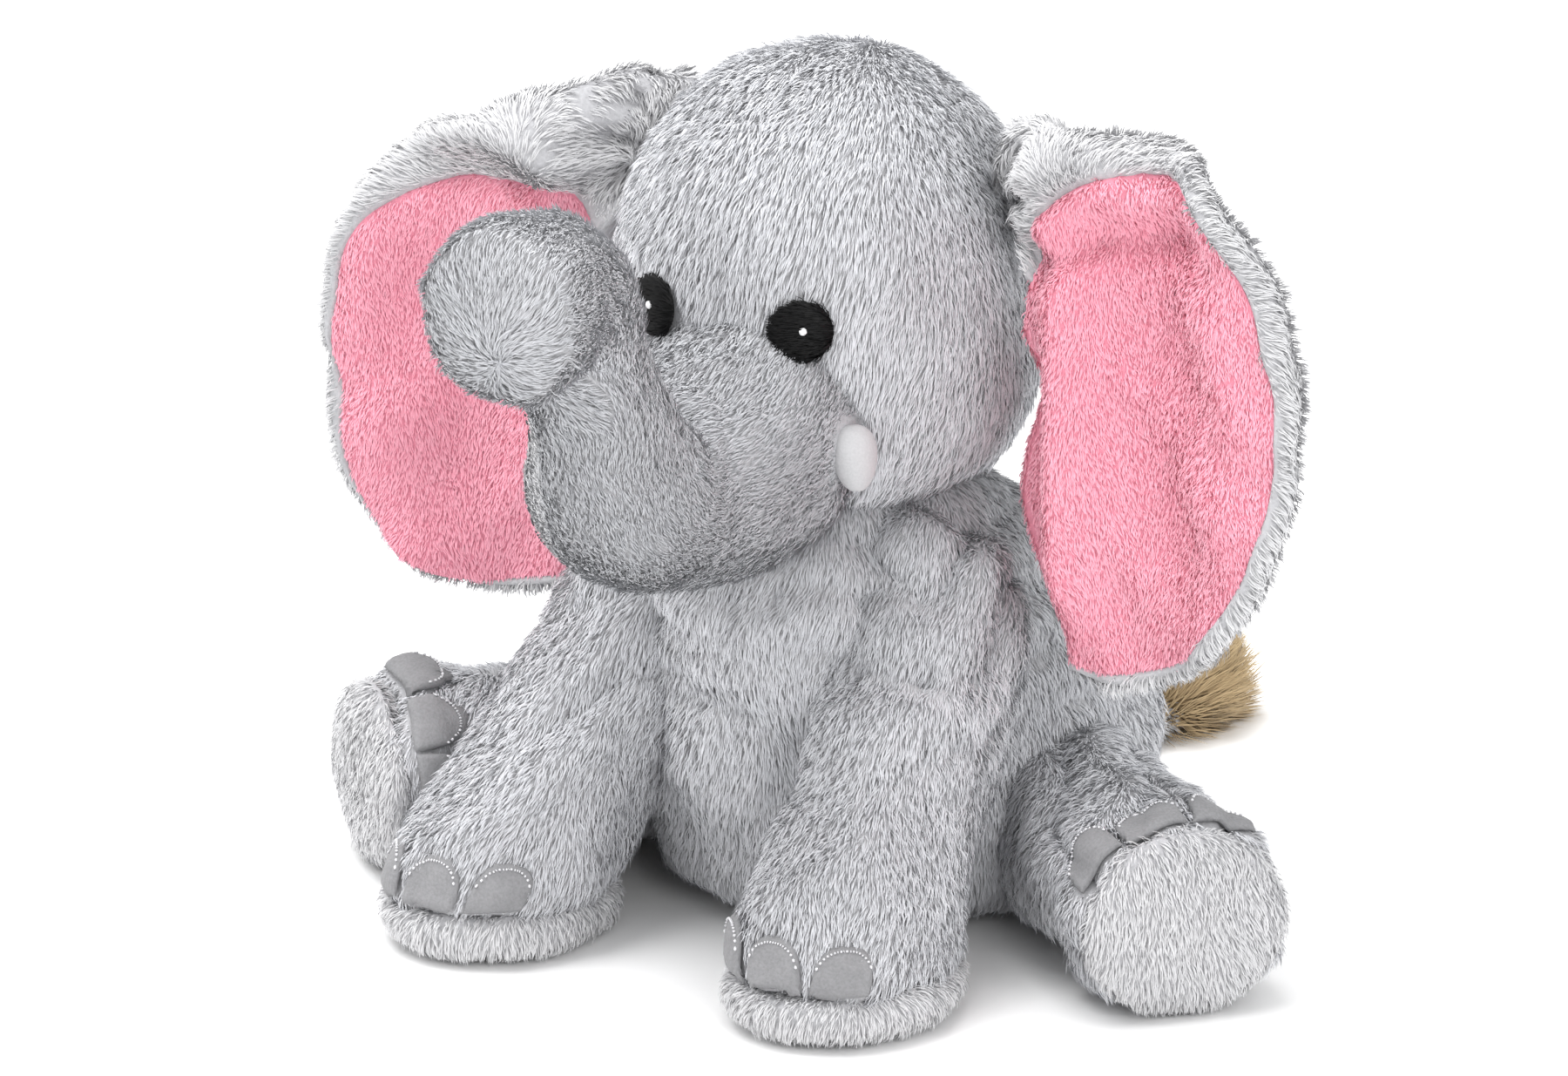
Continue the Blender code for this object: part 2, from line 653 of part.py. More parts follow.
def toenail(sections, angle):
    """A patch with an arched top, laid on the foot just above the sole's seam."""
    mesh = bmesh.new()
    rim = sections[-1]
    step = 0.001
    pace = (rim.point(angle + step) - rim.point(angle)).length / step
    columns, rows = 7, 4
    grid = []
    for i in range(columns):
        share = 2 * i / (columns - 1) - 1
        here = angle + share * NAIL_WIDTH / 2 / pace
        height = NAIL_HEIGHT * (0.45 + 0.55 * sqrt(max(1 - share * share, 0)))
        ups = [NAIL_START + height * j / (rows - 1) for j in range(rows)]
        grid.append([mesh.verts.new(foot_point(sections, here, up, NAIL_CLEAR)) for up in ups])
    for left, right in zip(grid, grid[1:]):
        for j in range(rows - 1):
            mesh.faces.new((left[j], right[j], right[j + 1], left[j + 1]))
    mesh.normal_update()
    face_away(mesh, sections[-2].centre)
    return mesh


def leg(name, sections, bulge, rounds, joint):
    """The cover, its stuffing, the sole and three toenails of one leg."""
    count = 14
    cover_mesh = skin(sections, turns(count), open_first=True, open_last=True)
    wall(place(f"{name}_cover", cover_mesh, GREY_PLUSH, joint), FABRIC)
    seam, leg_end = sections[-1], sections[-2].centre
    dome = sole_sections(seam, leg_end, bulge, rounds)
    lift = (dome[1].centre - dome[0].centre).normalized() * 2 * GAP
    for section in dome:
        section.centre = section.centre + lift
    wall(place(f"{name}_sole", skin(dome, turns(count), open_first=True), PALE_PLUSH, joint), FABRIC)
    whole = skin(sections + sole_sections(seam, leg_end, bulge, rounds)[1:], turns(count))
    place(f"{name}_stuffing", shrunk(whole, FABRIC + 2 * GAP), FIBRE, joint)
    for label, offset in (("inner", -1), ("middle", 0), ("outer", 1)):
        angle = radians(90 - NAIL_SPREAD * offset * (1 if "left" in name else -1))
        nail = place(f"{name}_toenail_{label}", toenail(sections, angle), NAIL_PLUSH, joint)
        wall(nail, SHORT_FABRIC)
        nail.modifiers["cloth"].offset = 1


room = {}
for side_name, side in SIDES.items():
    front = front_leg_sections(side)
    leg(f"front_leg_{side_name}", front, FRONT_SOLE_BULGE, FRONT_ROUNDS, shoulder_joints[side_name])
    roots = [s.point(a, PLAY) for s in front[:7] for a in turns(10)]
    room[f"shoulder_{side_name}"] = swept_space(
        f"shoulder_{side_name}_room", roots, mirrored(SHOULDER, side), "X", (0, -18, -36)
    )
    hind = hind_leg_sections(side)
    leg(f"hind_leg_{side_name}", hind, HIND_SOLE_BULGE, HIND_ROUNDS, hip_joints[side_name])
    roots = [s.point(a, PLAY) for s in hind[:6] for a in turns(10)]
    room[f"hip_{side_name}"] = swept_space(
        f"hip_{side_name}_room", roots, mirrored(HIP, side), "Z", tuple(side * a for a in (-11, 0, 21))
    )


# --- Torso ------------------------------------------------------------------------------------------------


def torso_sections():
    """A pear that leans forward to the neck."""
    stations = [  # share of the height, centre in Y, shares of the width and depth
        (0.020, -0.004, 0.72, 0.73),
        (0.075, -0.004, 0.89, 0.90),
        (0.180, -0.004, 0.985, 0.99),
        (0.330, -0.005, 1.00, 1.00),
        (0.490, -0.010, 0.95, 0.93),
        (0.650, -0.019, 0.86, 0.80),
        (0.800, -0.031, 0.76, 0.64),
        (0.915, -0.040, 0.65, 0.51),
        (1.000, -0.044, 0.51, 0.41),
    ]
    sections = []
    for height, middle, width, depth in stations:
        centre = (0, middle, TORSO_HEIGHT * height)
        sections.append(Section(centre, X_AXIS, Y_AXIS, TORSO_WIDTH * width, TORSO_DEPTH * depth))
    return sections


head_roots = []
for section in head_sections(PLAY, HEAD_STEPS)[:7]:
    head_roots += [section.point(a) for a in turns(12)]
for section in muzzle_sections(-PLAY):
    for degrees in (-12, 0, 12):
        swing = Matrix.Rotation(radians(degrees + NECK_TURN), 3, "Z")
        head_roots += [NECK_PIVOT + swing @ (section.point(a) - NECK_PIVOT) for a in turns(12)]
head_room = swept_space("head_room", head_roots, NECK_PIVOT, "X", (-NOD_LIMIT - 1, 0, NOD_LIMIT + 1))

tail_root = Vector((0, torso_sections()[1].point(pi / 2).y, TAIL_RADIUS + 0.0006))
tail_room = ball_space("tail_room", tail_root, TAIL_RADIUS + PLAY)
rooms = [head_room, tail_room] + list(room.values())

torso = skin(torso_sections(), turns(22), open_first=True, open_last=True)
cut(wall(place("torso_cover", torso, GREY_PLUSH), FABRIC), *rooms)

POUCH_CENTRE = Vector((0, 0.040, 0.026))
POUCH_HALF = Vector((0.036, 0.022, 0.018))


def pouch_mesh(grow):
    mesh = bmesh.new()
    bmesh.ops.create_uvsphere(mesh, u_segments=16, v_segments=10, radius=1)
    size = POUCH_HALF + Vector((grow, grow, grow))
    bmesh.ops.transform(mesh, matrix=Matrix.LocRotScale(POUCH_CENTRE, None, size), verts=mesh.verts)
    return mesh


fill = shrunk(skin(torso_sections(), turns(22)), FABRIC + 2 * GAP)
torso_fill = place("torso_stuffing", fill, FIBRE)
cut(torso_fill, *rooms, neck_stem_space)
slot = bmesh.new()
bmesh.ops.create_cone(slot, cap_ends=True, segments=8, radius1=0.003, radius2=0.003, depth=0.04)
bmesh.ops.transform(slot, matrix=Matrix.Translation((0, POUCH_CENTRE.y, 0.005)), verts=slot.verts)
cut(torso_fill, space("pouch_space", pouch_mesh(GAP)), space("pouch_vent", slot))
place("pellet_pouch", pouch_mesh(0), POUCH_CLOTH)

base = torso_sections()[0]
seat = bmesh.new()
bmesh.ops.create_circle(seat, cap_ends=True, segments=22, radius=1)
outline = Matrix.LocRotScale(Vector((0, base.centre.y, 0)), None, Vector((base.half_width, base.half_length, 1)))
bmesh.ops.transform(seat, matrix=outline, verts=seat.verts)
raised = bmesh.ops.extrude_face_region(seat, geom=seat.faces[:])
tops = [v for v in raised["geom"] if isinstance(v, bmesh.types.BMVert)]
bmesh.ops.translate(seat, verts=tops, vec=(0, 0, SEAT_THICKNESS))
bmesh.ops.recalc_face_normals(seat, faces=seat.faces)
seat_panel = place("seat_panel", seat, GREY_PLUSH)
seat_panel.data.shade_flat()


# --- Tail -------------------------------------------------------------------------------------------------

tail_joint = pivot("tail_axis", tail_root)
tail_rounds = [(TAIL_RADIUS * sin(radians(a)), cos(radians(a))) for a in (-70, -45, -20)]
tail_rounds += [(0.0, 1.0), (TAIL_LENGTH * 0.5, 0.95), (TAIL_LENGTH, 0.85)]
tail_line = [
    Section(tail_root + Y_AXIS * along, X_AXIS, Z_AXIS, TAIL_RADIUS * size, TAIL_RADIUS * size)
    for along, size in tail_rounds
]
place("tail_sleeve", skin(tail_line, turns(14)), GREY_PLUSH, tail_joint)
tuft_start = tail_root + Y_AXIS * (TAIL_LENGTH + GAP)
tuft_line = []
for share, size in ((0, 0.42), (0.15, 0.72), (0.4, 1.0), (0.65, 0.95), (0.85, 0.7), (1.0, 0.3)):
    radius = TUFT_RADIUS * size
    middle = (0, tuft_start.y + TUFT_LENGTH * share, max(radius + 0.0002, tuft_start.z))
    tuft_line.append(Section(middle, X_AXIS, Z_AXIS, radius, radius))
place("tail_tuft", skin(tuft_line, turns(16)), TAN_PILE, tail_joint)
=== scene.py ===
"""A seated plush elephant with its pile standing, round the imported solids.

Metres, +Z up. The elephant faces -Y and its left side is at +X.
"""

from math import atan2, cos, degrees, exp, hypot, pi, radians, sin, sqrt

import bmesh
import bpy
import numpy as np
from mathutils import Matrix, Vector, noise
from mathutils.bvhtree import BVHTree


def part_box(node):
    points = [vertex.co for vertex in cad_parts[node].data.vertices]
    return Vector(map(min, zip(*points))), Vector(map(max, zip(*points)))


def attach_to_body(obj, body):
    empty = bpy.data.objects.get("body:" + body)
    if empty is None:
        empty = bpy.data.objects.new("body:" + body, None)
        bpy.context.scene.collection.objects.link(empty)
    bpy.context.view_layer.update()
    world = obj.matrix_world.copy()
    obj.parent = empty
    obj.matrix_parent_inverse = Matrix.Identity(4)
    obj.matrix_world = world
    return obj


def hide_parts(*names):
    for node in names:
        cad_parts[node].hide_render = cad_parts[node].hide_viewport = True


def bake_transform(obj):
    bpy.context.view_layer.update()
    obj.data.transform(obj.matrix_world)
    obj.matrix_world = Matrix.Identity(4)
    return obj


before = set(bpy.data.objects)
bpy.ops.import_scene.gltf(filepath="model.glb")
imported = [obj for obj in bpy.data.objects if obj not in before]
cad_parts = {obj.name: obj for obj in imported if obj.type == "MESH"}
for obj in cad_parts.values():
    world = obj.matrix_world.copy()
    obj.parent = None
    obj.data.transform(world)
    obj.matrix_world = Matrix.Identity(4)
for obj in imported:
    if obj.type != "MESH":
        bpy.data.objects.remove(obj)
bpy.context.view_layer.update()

# --- Studio: a white sheet under a large overhead softbox --------------------------------------------------
# The camera stands in front of the elephant's left shoulder, a little above it and far back.

CAMERA_AZIMUTH, CAMERA_ELEVATION, CAMERA_DISTANCE = radians(35), radians(18.5), 4.0
VIEW_WIDTH = 0.414
VIEW_TARGET = Vector((0, -0.06, 0))
VIEW_RISE = 0.1006

toward = Vector((
    sin(CAMERA_AZIMUTH) * cos(CAMERA_ELEVATION),
    -cos(CAMERA_AZIMUTH) * cos(CAMERA_ELEVATION),
    sin(CAMERA_ELEVATION),
))
right = Vector((cos(CAMERA_AZIMUTH), sin(CAMERA_AZIMUTH), 0))
up = toward.cross(right)
aim = VIEW_TARGET + up * VIEW_RISE
aim += toward * (Vector((0, -0.05, 0.11)) - aim).dot(toward)
camera = bpy.data.objects.new("camera", bpy.data.cameras.new("camera"))
camera_axes = Matrix((right, up, toward)).transposed().to_4x4()
camera.matrix_world = Matrix.Translation(aim + toward * CAMERA_DISTANCE) @ camera_axes
camera.data.sensor_width = 36
camera.data.lens = 36 * CAMERA_DISTANCE / VIEW_WIDTH
camera.data.clip_start = 0.05
bpy.context.scene.collection.objects.link(camera)
bpy.context.scene.camera = camera
bpy.context.scene.view_settings.view_transform = "Standard"


def softbox(name, place, watts, size):
    """A square area light that faces the elephant's middle."""
    light = bpy.data.objects.new(name, bpy.data.lights.new(name, "AREA"))
    light.data.energy = watts
    light.data.size = size
    light.location = place
    light.rotation_euler = (Vector((0, -0.04, 0.1)) - Vector(place)).to_track_quat("-Z", "Y").to_euler()
    bpy.context.scene.collection.objects.link(light)


softbox("overhead_softbox", (-0.5, -0.4, 2.4), 52, 1.8)
softbox("front_softbox", (2.7, -1.7, 1.5), 44, 1.8)
softbox("side_softbox", (-2.4, -1.2, 1.5), 20, 1.6)

surroundings = bpy.data.worlds.new("surroundings")
surroundings.use_nodes = True
surroundings.node_tree.nodes["Background"].inputs["Color"].default_value = (1, 1, 1, 1)
surroundings.node_tree.nodes["Background"].inputs["Strength"].default_value = 0.95
bpy.context.scene.world = surroundings

sheet = bmesh.new()
bmesh.ops.create_grid(sheet, x_segments=1, y_segments=1, size=9)
floor = bpy.data.objects.new("studio_floor", bpy.data.meshes.new("studio_floor"))
sheet.to_mesh(floor.data)
bpy.context.scene.collection.objects.link(floor)


# --- Plush ------------------------------------------------------------------------------------------------
# Knitted backing cloth with a long pile. Each tuft of the pile is a thin tapered ribbon that leans over.


class Socket:
    """A shader socket with arithmetic. An expression on sockets adds its Math nodes."""

    def __init__(self, tree, socket):
        self.tree, self.socket = tree, socket

    def node(self, kind, output=0, settings=None, **links):
        made = self.tree.nodes.new("ShaderNode" + kind)
        for setting, value in (settings or {}).items():
            setattr(made, setting, value)
        for place, value in links.items():
            key = int(place[1:]) if place[0] == "i" and place[1:].isdigit() else place.replace("_", " ")
            if isinstance(value, Socket):
                self.tree.links.new(value.socket, made.inputs[key])
            else:
                made.inputs[key].default_value = value
        return Socket(self.tree, made.outputs[output])

    def maths(self, operation, first, second):
        return self.node("Math", settings={"operation": operation}, i0=first, i1=second)

    def __add__(self, other): return self.maths("ADD", self, other)
    def __radd__(self, other): return self.maths("ADD", other, self)
    def __mul__(self, other): return self.maths("MULTIPLY", self, other)
    def __rmul__(self, other): return self.maths("MULTIPLY", other, self)
    def __pow__(self, other): return self.maths("POWER", self, other)

    def mix(self, first, second):
        """Colours mixed by this socket."""
        return self.node("Mix", 2, {"data_type": "RGBA"}, i0=self, i6=first, i7=second)


def finish(name, roughness, sheen=0.0):
    """A Principled material, its surface socket to build from, and a way to set what it shows."""
    made = bpy.data.materials.new(name)
    made.use_nodes = True
    shader = made.node_tree.nodes["Principled BSDF"]
    shader.inputs["Roughness"].default_value = roughness
    shader.inputs["Specular IOR Level"].default_value = 0.15
    shader.inputs["Sheen Weight"].default_value = sheen
    shader.inputs["Sheen Roughness"].default_value = 0.5
    return made, Socket(made.node_tree, None), shader


def show(shader, colour, normal=None):
    tree = colour.tree
    tree.links.new(colour.socket, shader.inputs["Base Color"])
    if normal is not None:
        tree.links.new(normal.socket, shader.inputs["Normal"])


def pile_finish(name, root, dark, light, roughness=0.8, sheen=0.15):
    """Each ribbon has one tone, from its place across the UV map, and is darker at its root: painted shade
    down among the strands.
    """
    made, start, shader = finish(name, roughness, sheen)
    place = start.node("UVMap", settings={"uv_map": "OFBake"})
    across = place.node("SeparateXYZ", 0, i0=place)
    along = place.node("SeparateXYZ", 1, i0=place)
    body = across.mix((*dark, 1), (*light, 1))
    # Painted shade: the colour darkens from tip to root, where the strands shade one another.
    depth = along ** 0.7
    show(shader, depth.mix((*root, 1), body))
    return made


def grain(start, scale, detail):
    """Noise fixed to the cloth."""
    place = start.node("TexCoord", 3)
    return place.node("TexNoise", 0, Vector=place, Scale=scale, Detail=detail)


def raised(height, strength, distance):
    return height.node("Bump", Height=height, Strength=strength, Distance=distance)


def backing_finish(name, colour):
    """Knitted cloth under the pile, mottled by the shade between the tufts."""
    made, start, shader = finish(name, 0.95)
    mottle = grain(start, 900.0, 3.0)
    deep = tuple(c * 0.62 for c in colour)
    show(shader, mottle.mix((*deep, 1), (*colour, 1)), raised(mottle, 0.5, 0.0006))
    return made


floor_paint, start, shader = finish("white_paper", 0.9)
show(shader, grain(start, 60.0, 2.0).mix((0.93, 0.93, 0.93, 1), (0.95, 0.95, 0.95, 1)))
floor.data.materials.append(floor_paint)

grey_pile = pile_finish("grey_pile", (0.43, 0.43, 0.44), (0.455, 0.465, 0.49), (0.8, 0.81, 0.845))
pale_pile = pile_finish("pale_pile", (0.5, 0.5, 0.51), (0.66, 0.66, 0.675), (0.82, 0.82, 0.83))
grey_backing = backing_finish("grey_backing", (0.54, 0.54, 0.56))
pale_backing = backing_finish("pale_backing", (0.56, 0.56, 0.58))

TONES = 24  # columns across the pile's UV map
RIBBONS = 62000  # the most in one piece
SWIRL, CLOUDING = 0.035, 0.04  # how far apart the pile's lie and its tone change
FLOOR_GAP = 0.0004  # between the lowest pile and the floor
X_AXIS, Y_AXIS, Z_AXIS = Vector((1, 0, 0)), Vector((0, 1, 0)), Vector((0, 0, 1))
DENSITY = 1.0


def loose(made):
    """Leaves a piece unattached."""


def piece(name, mesh, paint, attach):
    """A mesh as an object with its material, riding on its body."""
    data = mesh
    if isinstance(mesh, bmesh.types.BMesh):
        data = bpy.data.meshes.new(name)
        mesh.to_mesh(data)
        mesh.free()
        data.shade_smooth()
    data.materials.append(paint)
    made = bpy.data.objects.new(name, data)
    bpy.context.scene.collection.objects.link(made)
    attach(made)
    return made


def on(body):
    return lambda made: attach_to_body(made, body)


def settle(made):
    """Applies the modifiers of a piece to its mesh."""
    graph = bpy.context.evaluated_depsgraph_get()
    fresh = bpy.data.meshes.new_from_object(made.evaluated_get(graph))
    made.modifiers.clear()
    old, made.data = made.data, fresh
    bpy.data.meshes.remove(old)
    made.data.name = made.name
    return made


class Ring:
    """An ellipse that the cloth passes through: its middle, two directions and two half sizes."""

    def __init__(self, centre, across, along, half_width, half_length):
        self.centre = Vector(centre)
        self.across, self.along = Vector(across).normalized(), Vector(along).normalized()
        self.half_width, self.half_length = half_width, half_length

    def matrix(self):
        normal = self.across.cross(self.along)
        axes = Matrix((self.across * self.half_width, self.along * self.half_length, normal)).transposed()
        return Matrix.Translation(self.centre) @ axes.to_4x4()

    def point(self, angle):
        return (self.centre + self.across * self.half_width * cos(angle)
                + self.along * self.half_length * sin(angle))


def sewn_form(name, rings, paint, attach, around=28, levels=1):
    """A closed stuffed skin through rings, rounded by subdivision."""
    mesh = bmesh.new()
    loops = []
    for ring in rings:
        verts = bmesh.ops.create_circle(mesh, segments=around, radius=1, matrix=ring.matrix())["verts"]
        loops.append(list({edge for vert in verts for edge in vert.link_edges}))
    for low, high in zip(loops, loops[1:]):
        bmesh.ops.bridge_loops(mesh, edges=low + high)
    for loop in (loops[0], loops[-1]):
        bmesh.ops.contextual_create(mesh, geom=loop)
    bmesh.ops.recalc_face_normals(mesh, faces=mesh.faces)
    made = piece(name, mesh, paint, attach)
    rounding = made.modifiers.new("rounding", "SUBSURF")
    rounding.levels = rounding.render_levels = levels
    return settle(made)


def rest_on(made, height):
    """Flattens a piece where it stands on the floor."""
    for vert in made.data.vertices:
        vert.co.z = max(vert.co.z, height)


def crumple(made, folds):
    """Moves the cloth in or out along its normals by what folds says at each point."""
    lifts = [vert.normal * folds(vert.co) for vert in made.data.vertices]
    for vert, lift in zip(made.data.vertices, lifts):
        vert.co += lift
    made.data.update()
    return made


def lumps(place, size, height, seed=0.0):
    """Soft lumps of stuffing."""
    return height * noise.noise(place / size + Vector((seed, seed * 2.3, seed * 0.7)))


def tree_of(made):
    data = made.data
    data.calc_loop_triangles()
    sides = [tuple(side.vertices) for side in data.loop_triangles]
    return BVHTree.FromPolygons([vert.co for vert in data.vertices], sides)


def standing(tree, place):
    """How far a point stands off a skin: below 0 inside it."""
    nearest, normal, _, distance = tree.find_nearest(place)
    return distance if (Vector(place) - nearest).dot(normal) > 0 else -distance


def waves(points, size, seed):
    """A smooth random value from -1 to 1 at each point."""
    random = np.random.default_rng(seed)
    total = np.zeros(len(points))
    for step in range(5):
        heading = random.normal(size=3)
        heading *= 2 * pi / (size * (0.6 + 0.25 * step)) / np.linalg.norm(heading)
        total += np.sin(points @ heading + random.uniform(0, 2 * pi))
    return total / 3


def unit(vectors):
    return vectors / np.maximum(np.linalg.norm(vectors, axis=1, keepdims=True), 1e-9)


def rows_of(items, attribute, kind):
    """Three values of each item, as rows."""
    values = np.empty(len(items) * 3, kind)
    items.foreach_get(attribute, values)
    return values.reshape(-1, 3)


def grow_pile(name, attach, skin, paint, per_cm2, length, flow, width=0.00048, lean=60, tone=0.5,
              hidden_by=(), trim=None, tuft=0.0026, sway=0.35, seed=1):
    """Covers a skin with ribbons that lean the way flow says.

    hidden_by: skins and the least distance from each at which pile grows. trim: the share of the length
    at each point, where 0 is bare.
    """
    random = np.random.default_rng(seed)
    data = skin.data
    data.calc_loop_triangles()
    corners = rows_of(data.vertices, "co", np.float32).astype(float)
    facing = rows_of(data.vertices, "normal", np.float32).astype(float)
    sides = rows_of(data.loop_triangles, "vertices", np.int32)
    first, second, third = (corners[sides[:, i]] for i in range(3))
    area = np.linalg.norm(np.cross(second - first, third - first), axis=1) / 2
    middle = (first + second + third) / 3
    for other, least in hidden_by:
        tree = tree_of(other)
        area *= np.array([standing(tree, place) > least for place in middle])
    count = int(area.sum() * 1e4 * per_cm2 * DENSITY)
    chosen = random.choice(len(sides), count, p=area / area.sum())
    share, split = np.sqrt(random.random(count)), random.random(count)
    weights = np.stack([1 - share, share * (1 - split), share * split], axis=1)
    root = sum(corners[sides[chosen, i]] * weights[:, i:i + 1] for i in range(3))
    normal = unit(sum(facing[sides[chosen, i]] * weights[:, i:i + 1] for i in range(3)))
    size = np.ones(count) if trim is None else trim(root, normal)
    keep = size > 0.02
    root, normal, size = root[keep], normal[keep], size[keep]
    count = len(root)

    # Tufts: ribbons in one cell lean alike and their tips draw together.
    spin = np.array(Matrix.Rotation(0.7, 3, Vector((0.4, 0.7, 0.6))))
    spot = root @ spin + 0.4 * tuft * np.stack([waves(root, 4 * tuft, seed + i) for i in range(3)], axis=1)
    cell = np.floor(spot / tuft).astype(np.int64)
    code = (cell * np.array([73856093, 19349663, 83492791])).sum(axis=1) & 0xFFFF
    shared = random.random((0x10000, 4))[code]
    middle = ((cell + 0.5) * tuft) @ spin.T

    heading = flow(root, normal)
    heading = unit(heading - normal * (heading * normal).sum(axis=1, keepdims=True))
    beside = np.cross(normal, heading)
    turn = sway * (
        waves(root, SWIRL, seed + 7) + 1.3 * (shared[:, 0] - 0.5) + 0.45 * random.normal(size=count))
    heading = heading * np.cos(turn)[:, None] + beside * np.sin(turn)[:, None]
    tilt = np.radians(lean + 16 * (shared[:, 1] - 0.5) + 8 * random.normal(size=count))
    reach = length * size * (0.78 + 0.3 * shared[:, 2] + 0.16 * random.random(count))

    def slope(angle):
        return normal * np.cos(angle)[:, None] + heading * np.sin(angle)[:, None]

    pull = middle - root
    pull = (pull - normal * (pull * normal).sum(axis=1, keepdims=True)) * size[:, None]
    bend = root + slope(tilt - 0.3) * (reach * 0.5)[:, None] + pull * 0.18
    tip = bend + slope(tilt + 0.2) * (reach * 0.5)[:, None] + pull * 0.3
    line = unit(tip - root)
    wide = unit(np.cross(line, normal))
    twist = 0.45 * random.normal(size=count)
    wide = wide * np.cos(twist)[:, None] + np.cross(wide, line) * np.sin(twist)[:, None]
    half = wide * (width * (0.8 + 0.4 * random.random(count)) * 0.5)[:, None]
    points = np.stack([root - half, root + half, bend + half * 0.85, bend - half * 0.85, tip], axis=1)
    points[:, :, 2] = np.maximum(points[:, :, 2], FLOOR_GAP)
    outward = unit(normal + 0.22 * np.cross(wide, line))
    tone = tone(root) if callable(tone) else tone
    shade = tone + 0.15 * (shared[:, 3] - 0.5) + 0.06 * random.normal(size=count)
    shade += 0.08 * waves(root, CLOUDING, seed + 9)
    column = np.clip(shade * TONES, 0, TONES - 1).astype(int)
    corner_of = np.array([0, 1, 2, 0, 2, 3, 3, 2, 4])
    map_x = np.array([0.1, 0.9, 0.85, 0.15, 0.5])[corner_of]
    map_y = np.array([0.02, 0.02, 0.5, 0.5, 0.98])[corner_of]

    made = []
    parts = int(np.ceil(count / RIBBONS))
    for part in range(parts):
        chunk = slice(part, None, parts)
        spots, ups, tones = points[chunk], outward[chunk], column[chunk]
        ribbons = len(spots)
        label = name if parts == 1 else f"{name}_{part + 1}"
        mesh = bpy.data.meshes.new(label)
        mesh.vertices.add(ribbons * 5)
        mesh.vertices.foreach_set("co", spots.astype(np.float32).ravel())
        mesh.loops.add(ribbons * 9)
        ends = np.arange(ribbons)[:, None] * 5 + corner_of
        mesh.loops.foreach_set("vertex_index", ends.astype(np.int32).ravel())
        mesh.polygons.add(ribbons * 3)
        mesh.polygons.foreach_set("loop_start", np.arange(0, ribbons * 9, 3, dtype=np.int32))
        layer = mesh.uv_layers.new(name="OFBake")
        across = (tones[:, None] + map_x) / TONES
        along = np.broadcast_to(map_y, across.shape)
        layer.data.foreach_set("uv", np.stack([across, along], axis=2).astype(np.float32).ravel())
        mesh.update(calc_edges=True)
        mesh.shade_smooth()
        mesh.normals_split_custom_set_from_vertices(np.repeat(ups, 5, axis=0).astype(np.float32))
        made.append(piece(label, mesh, paint, attach))
    return made


def along_way(*way):
    """Pile that lies one way all over."""
    way = np.array(way, float)
    return lambda root, normal: np.broadcast_to(way, root.shape)


# --- Torso ------------------------------------------------------------------------------------------------
# A pear of grey plush, stuffed firm, with a flat seat. Its chest wrinkles where the legs are sewn on.

TORSO_WIDTH, TORSO_DEPTH, TORSO_HEIGHT = 0.065, 0.078, 0.126
torso_stations = [  # share of the height, middle in Y, shares of the width and the depth
    (0.004, -0.004, 0.62, 0.63), (0.012, -0.004, 0.76, 0.77), (0.075, -0.004, 0.91, 0.92),
    (0.18, -0.004, 0.985, 0.99), (0.33, -0.006, 1.00, 1.00), (0.49, -0.012, 0.95, 0.93),
    (0.65, -0.022, 0.87, 0.81), (0.8, -0.034, 0.79, 0.66), (0.915, -0.041, 0.68, 0.53),
    (1.000, -0.044, 0.52, 0.42),
]
torso_rings = [
    Ring((0, middle, TORSO_HEIGHT * height), X_AXIS, Y_AXIS, TORSO_WIDTH * width, TORSO_DEPTH * depth)
    for height, middle, width, depth in torso_stations
]
torso = sewn_form("torso_plush", torso_rings, grey_backing, on("torso"), around=44, levels=2)


def torso_folds(place):
    seam = exp(-((place.x / 0.004) ** 2)) * (-0.0022 if place.y < 0 else -0.0014)
    chest = exp(-(((place.z - 0.085) / 0.034) ** 2)) * (1 if place.y < -0.01 else 0.3)
    crease = abs(sin(place.z * 190 + place.x * 26 + 2.2 * noise.noise(place * 32)))
    folds = chest * (0.0085 * crease ** 0.45 - 0.0052)
    base = min(max(place.z / 0.01, 0), 1)
    return (lumps(place, 0.022, 0.0046, 1.0) + lumps(place, 0.01, 0.0018, 4.0) + seam + folds) * base


crumple(torso, torso_folds)
rest_on(torso, 0.0006)
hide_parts("torso_cover", "torso_stuffing", "pellet_pouch", "seat_panel", "neck_stuffing")


# --- Head -------------------------------------------------------------------------------------------------
# An egg of grey plush, turned a little to its left, with a seam up the middle of the forehead.

NECK = Vector((0, -0.044, 0.115))
NECK_TURN = 5
head_turn = Matrix.Translation(NECK) @ Matrix.Rotation(radians(NECK_TURN), 4, "Z") @ Matrix.Translation(-NECK)
head_way = head_turn.to_3x3()
HEAD_CENTRE = Vector((0, -0.038, 0.172))
HEAD_RADIUS, HEAD_ABOVE, HEAD_BELOW = 0.0558, 0.0625, 0.0595
CHEEK = 0.065  # how much the cheeks swell sideways

mesh = bmesh.new()
bmesh.ops.create_uvsphere(mesh, u_segments=72, v_segments=48, radius=1)
for vert in mesh.verts:
    fullness = 0.04 if vert.co.z > 0 else 0.04 + 0.15 * min(-vert.co.z * 2, 1)
    level = max(1 - vert.co.z ** 2, 1e-6) ** -fullness
    cheek = 1 + CHEEK * sin(pi * min(max(-vert.co.z / 0.9, 0), 1))
    vert.co.x *= HEAD_RADIUS * level * cheek
    vert.co.y *= HEAD_RADIUS * level
    vert.co.z *= HEAD_ABOVE if vert.co.z > 0 else HEAD_BELOW
bmesh.ops.transform(mesh, matrix=Matrix.Translation(HEAD_CENTRE), verts=mesh.verts)
head = piece("head_plush", mesh, grey_backing, on("head"))


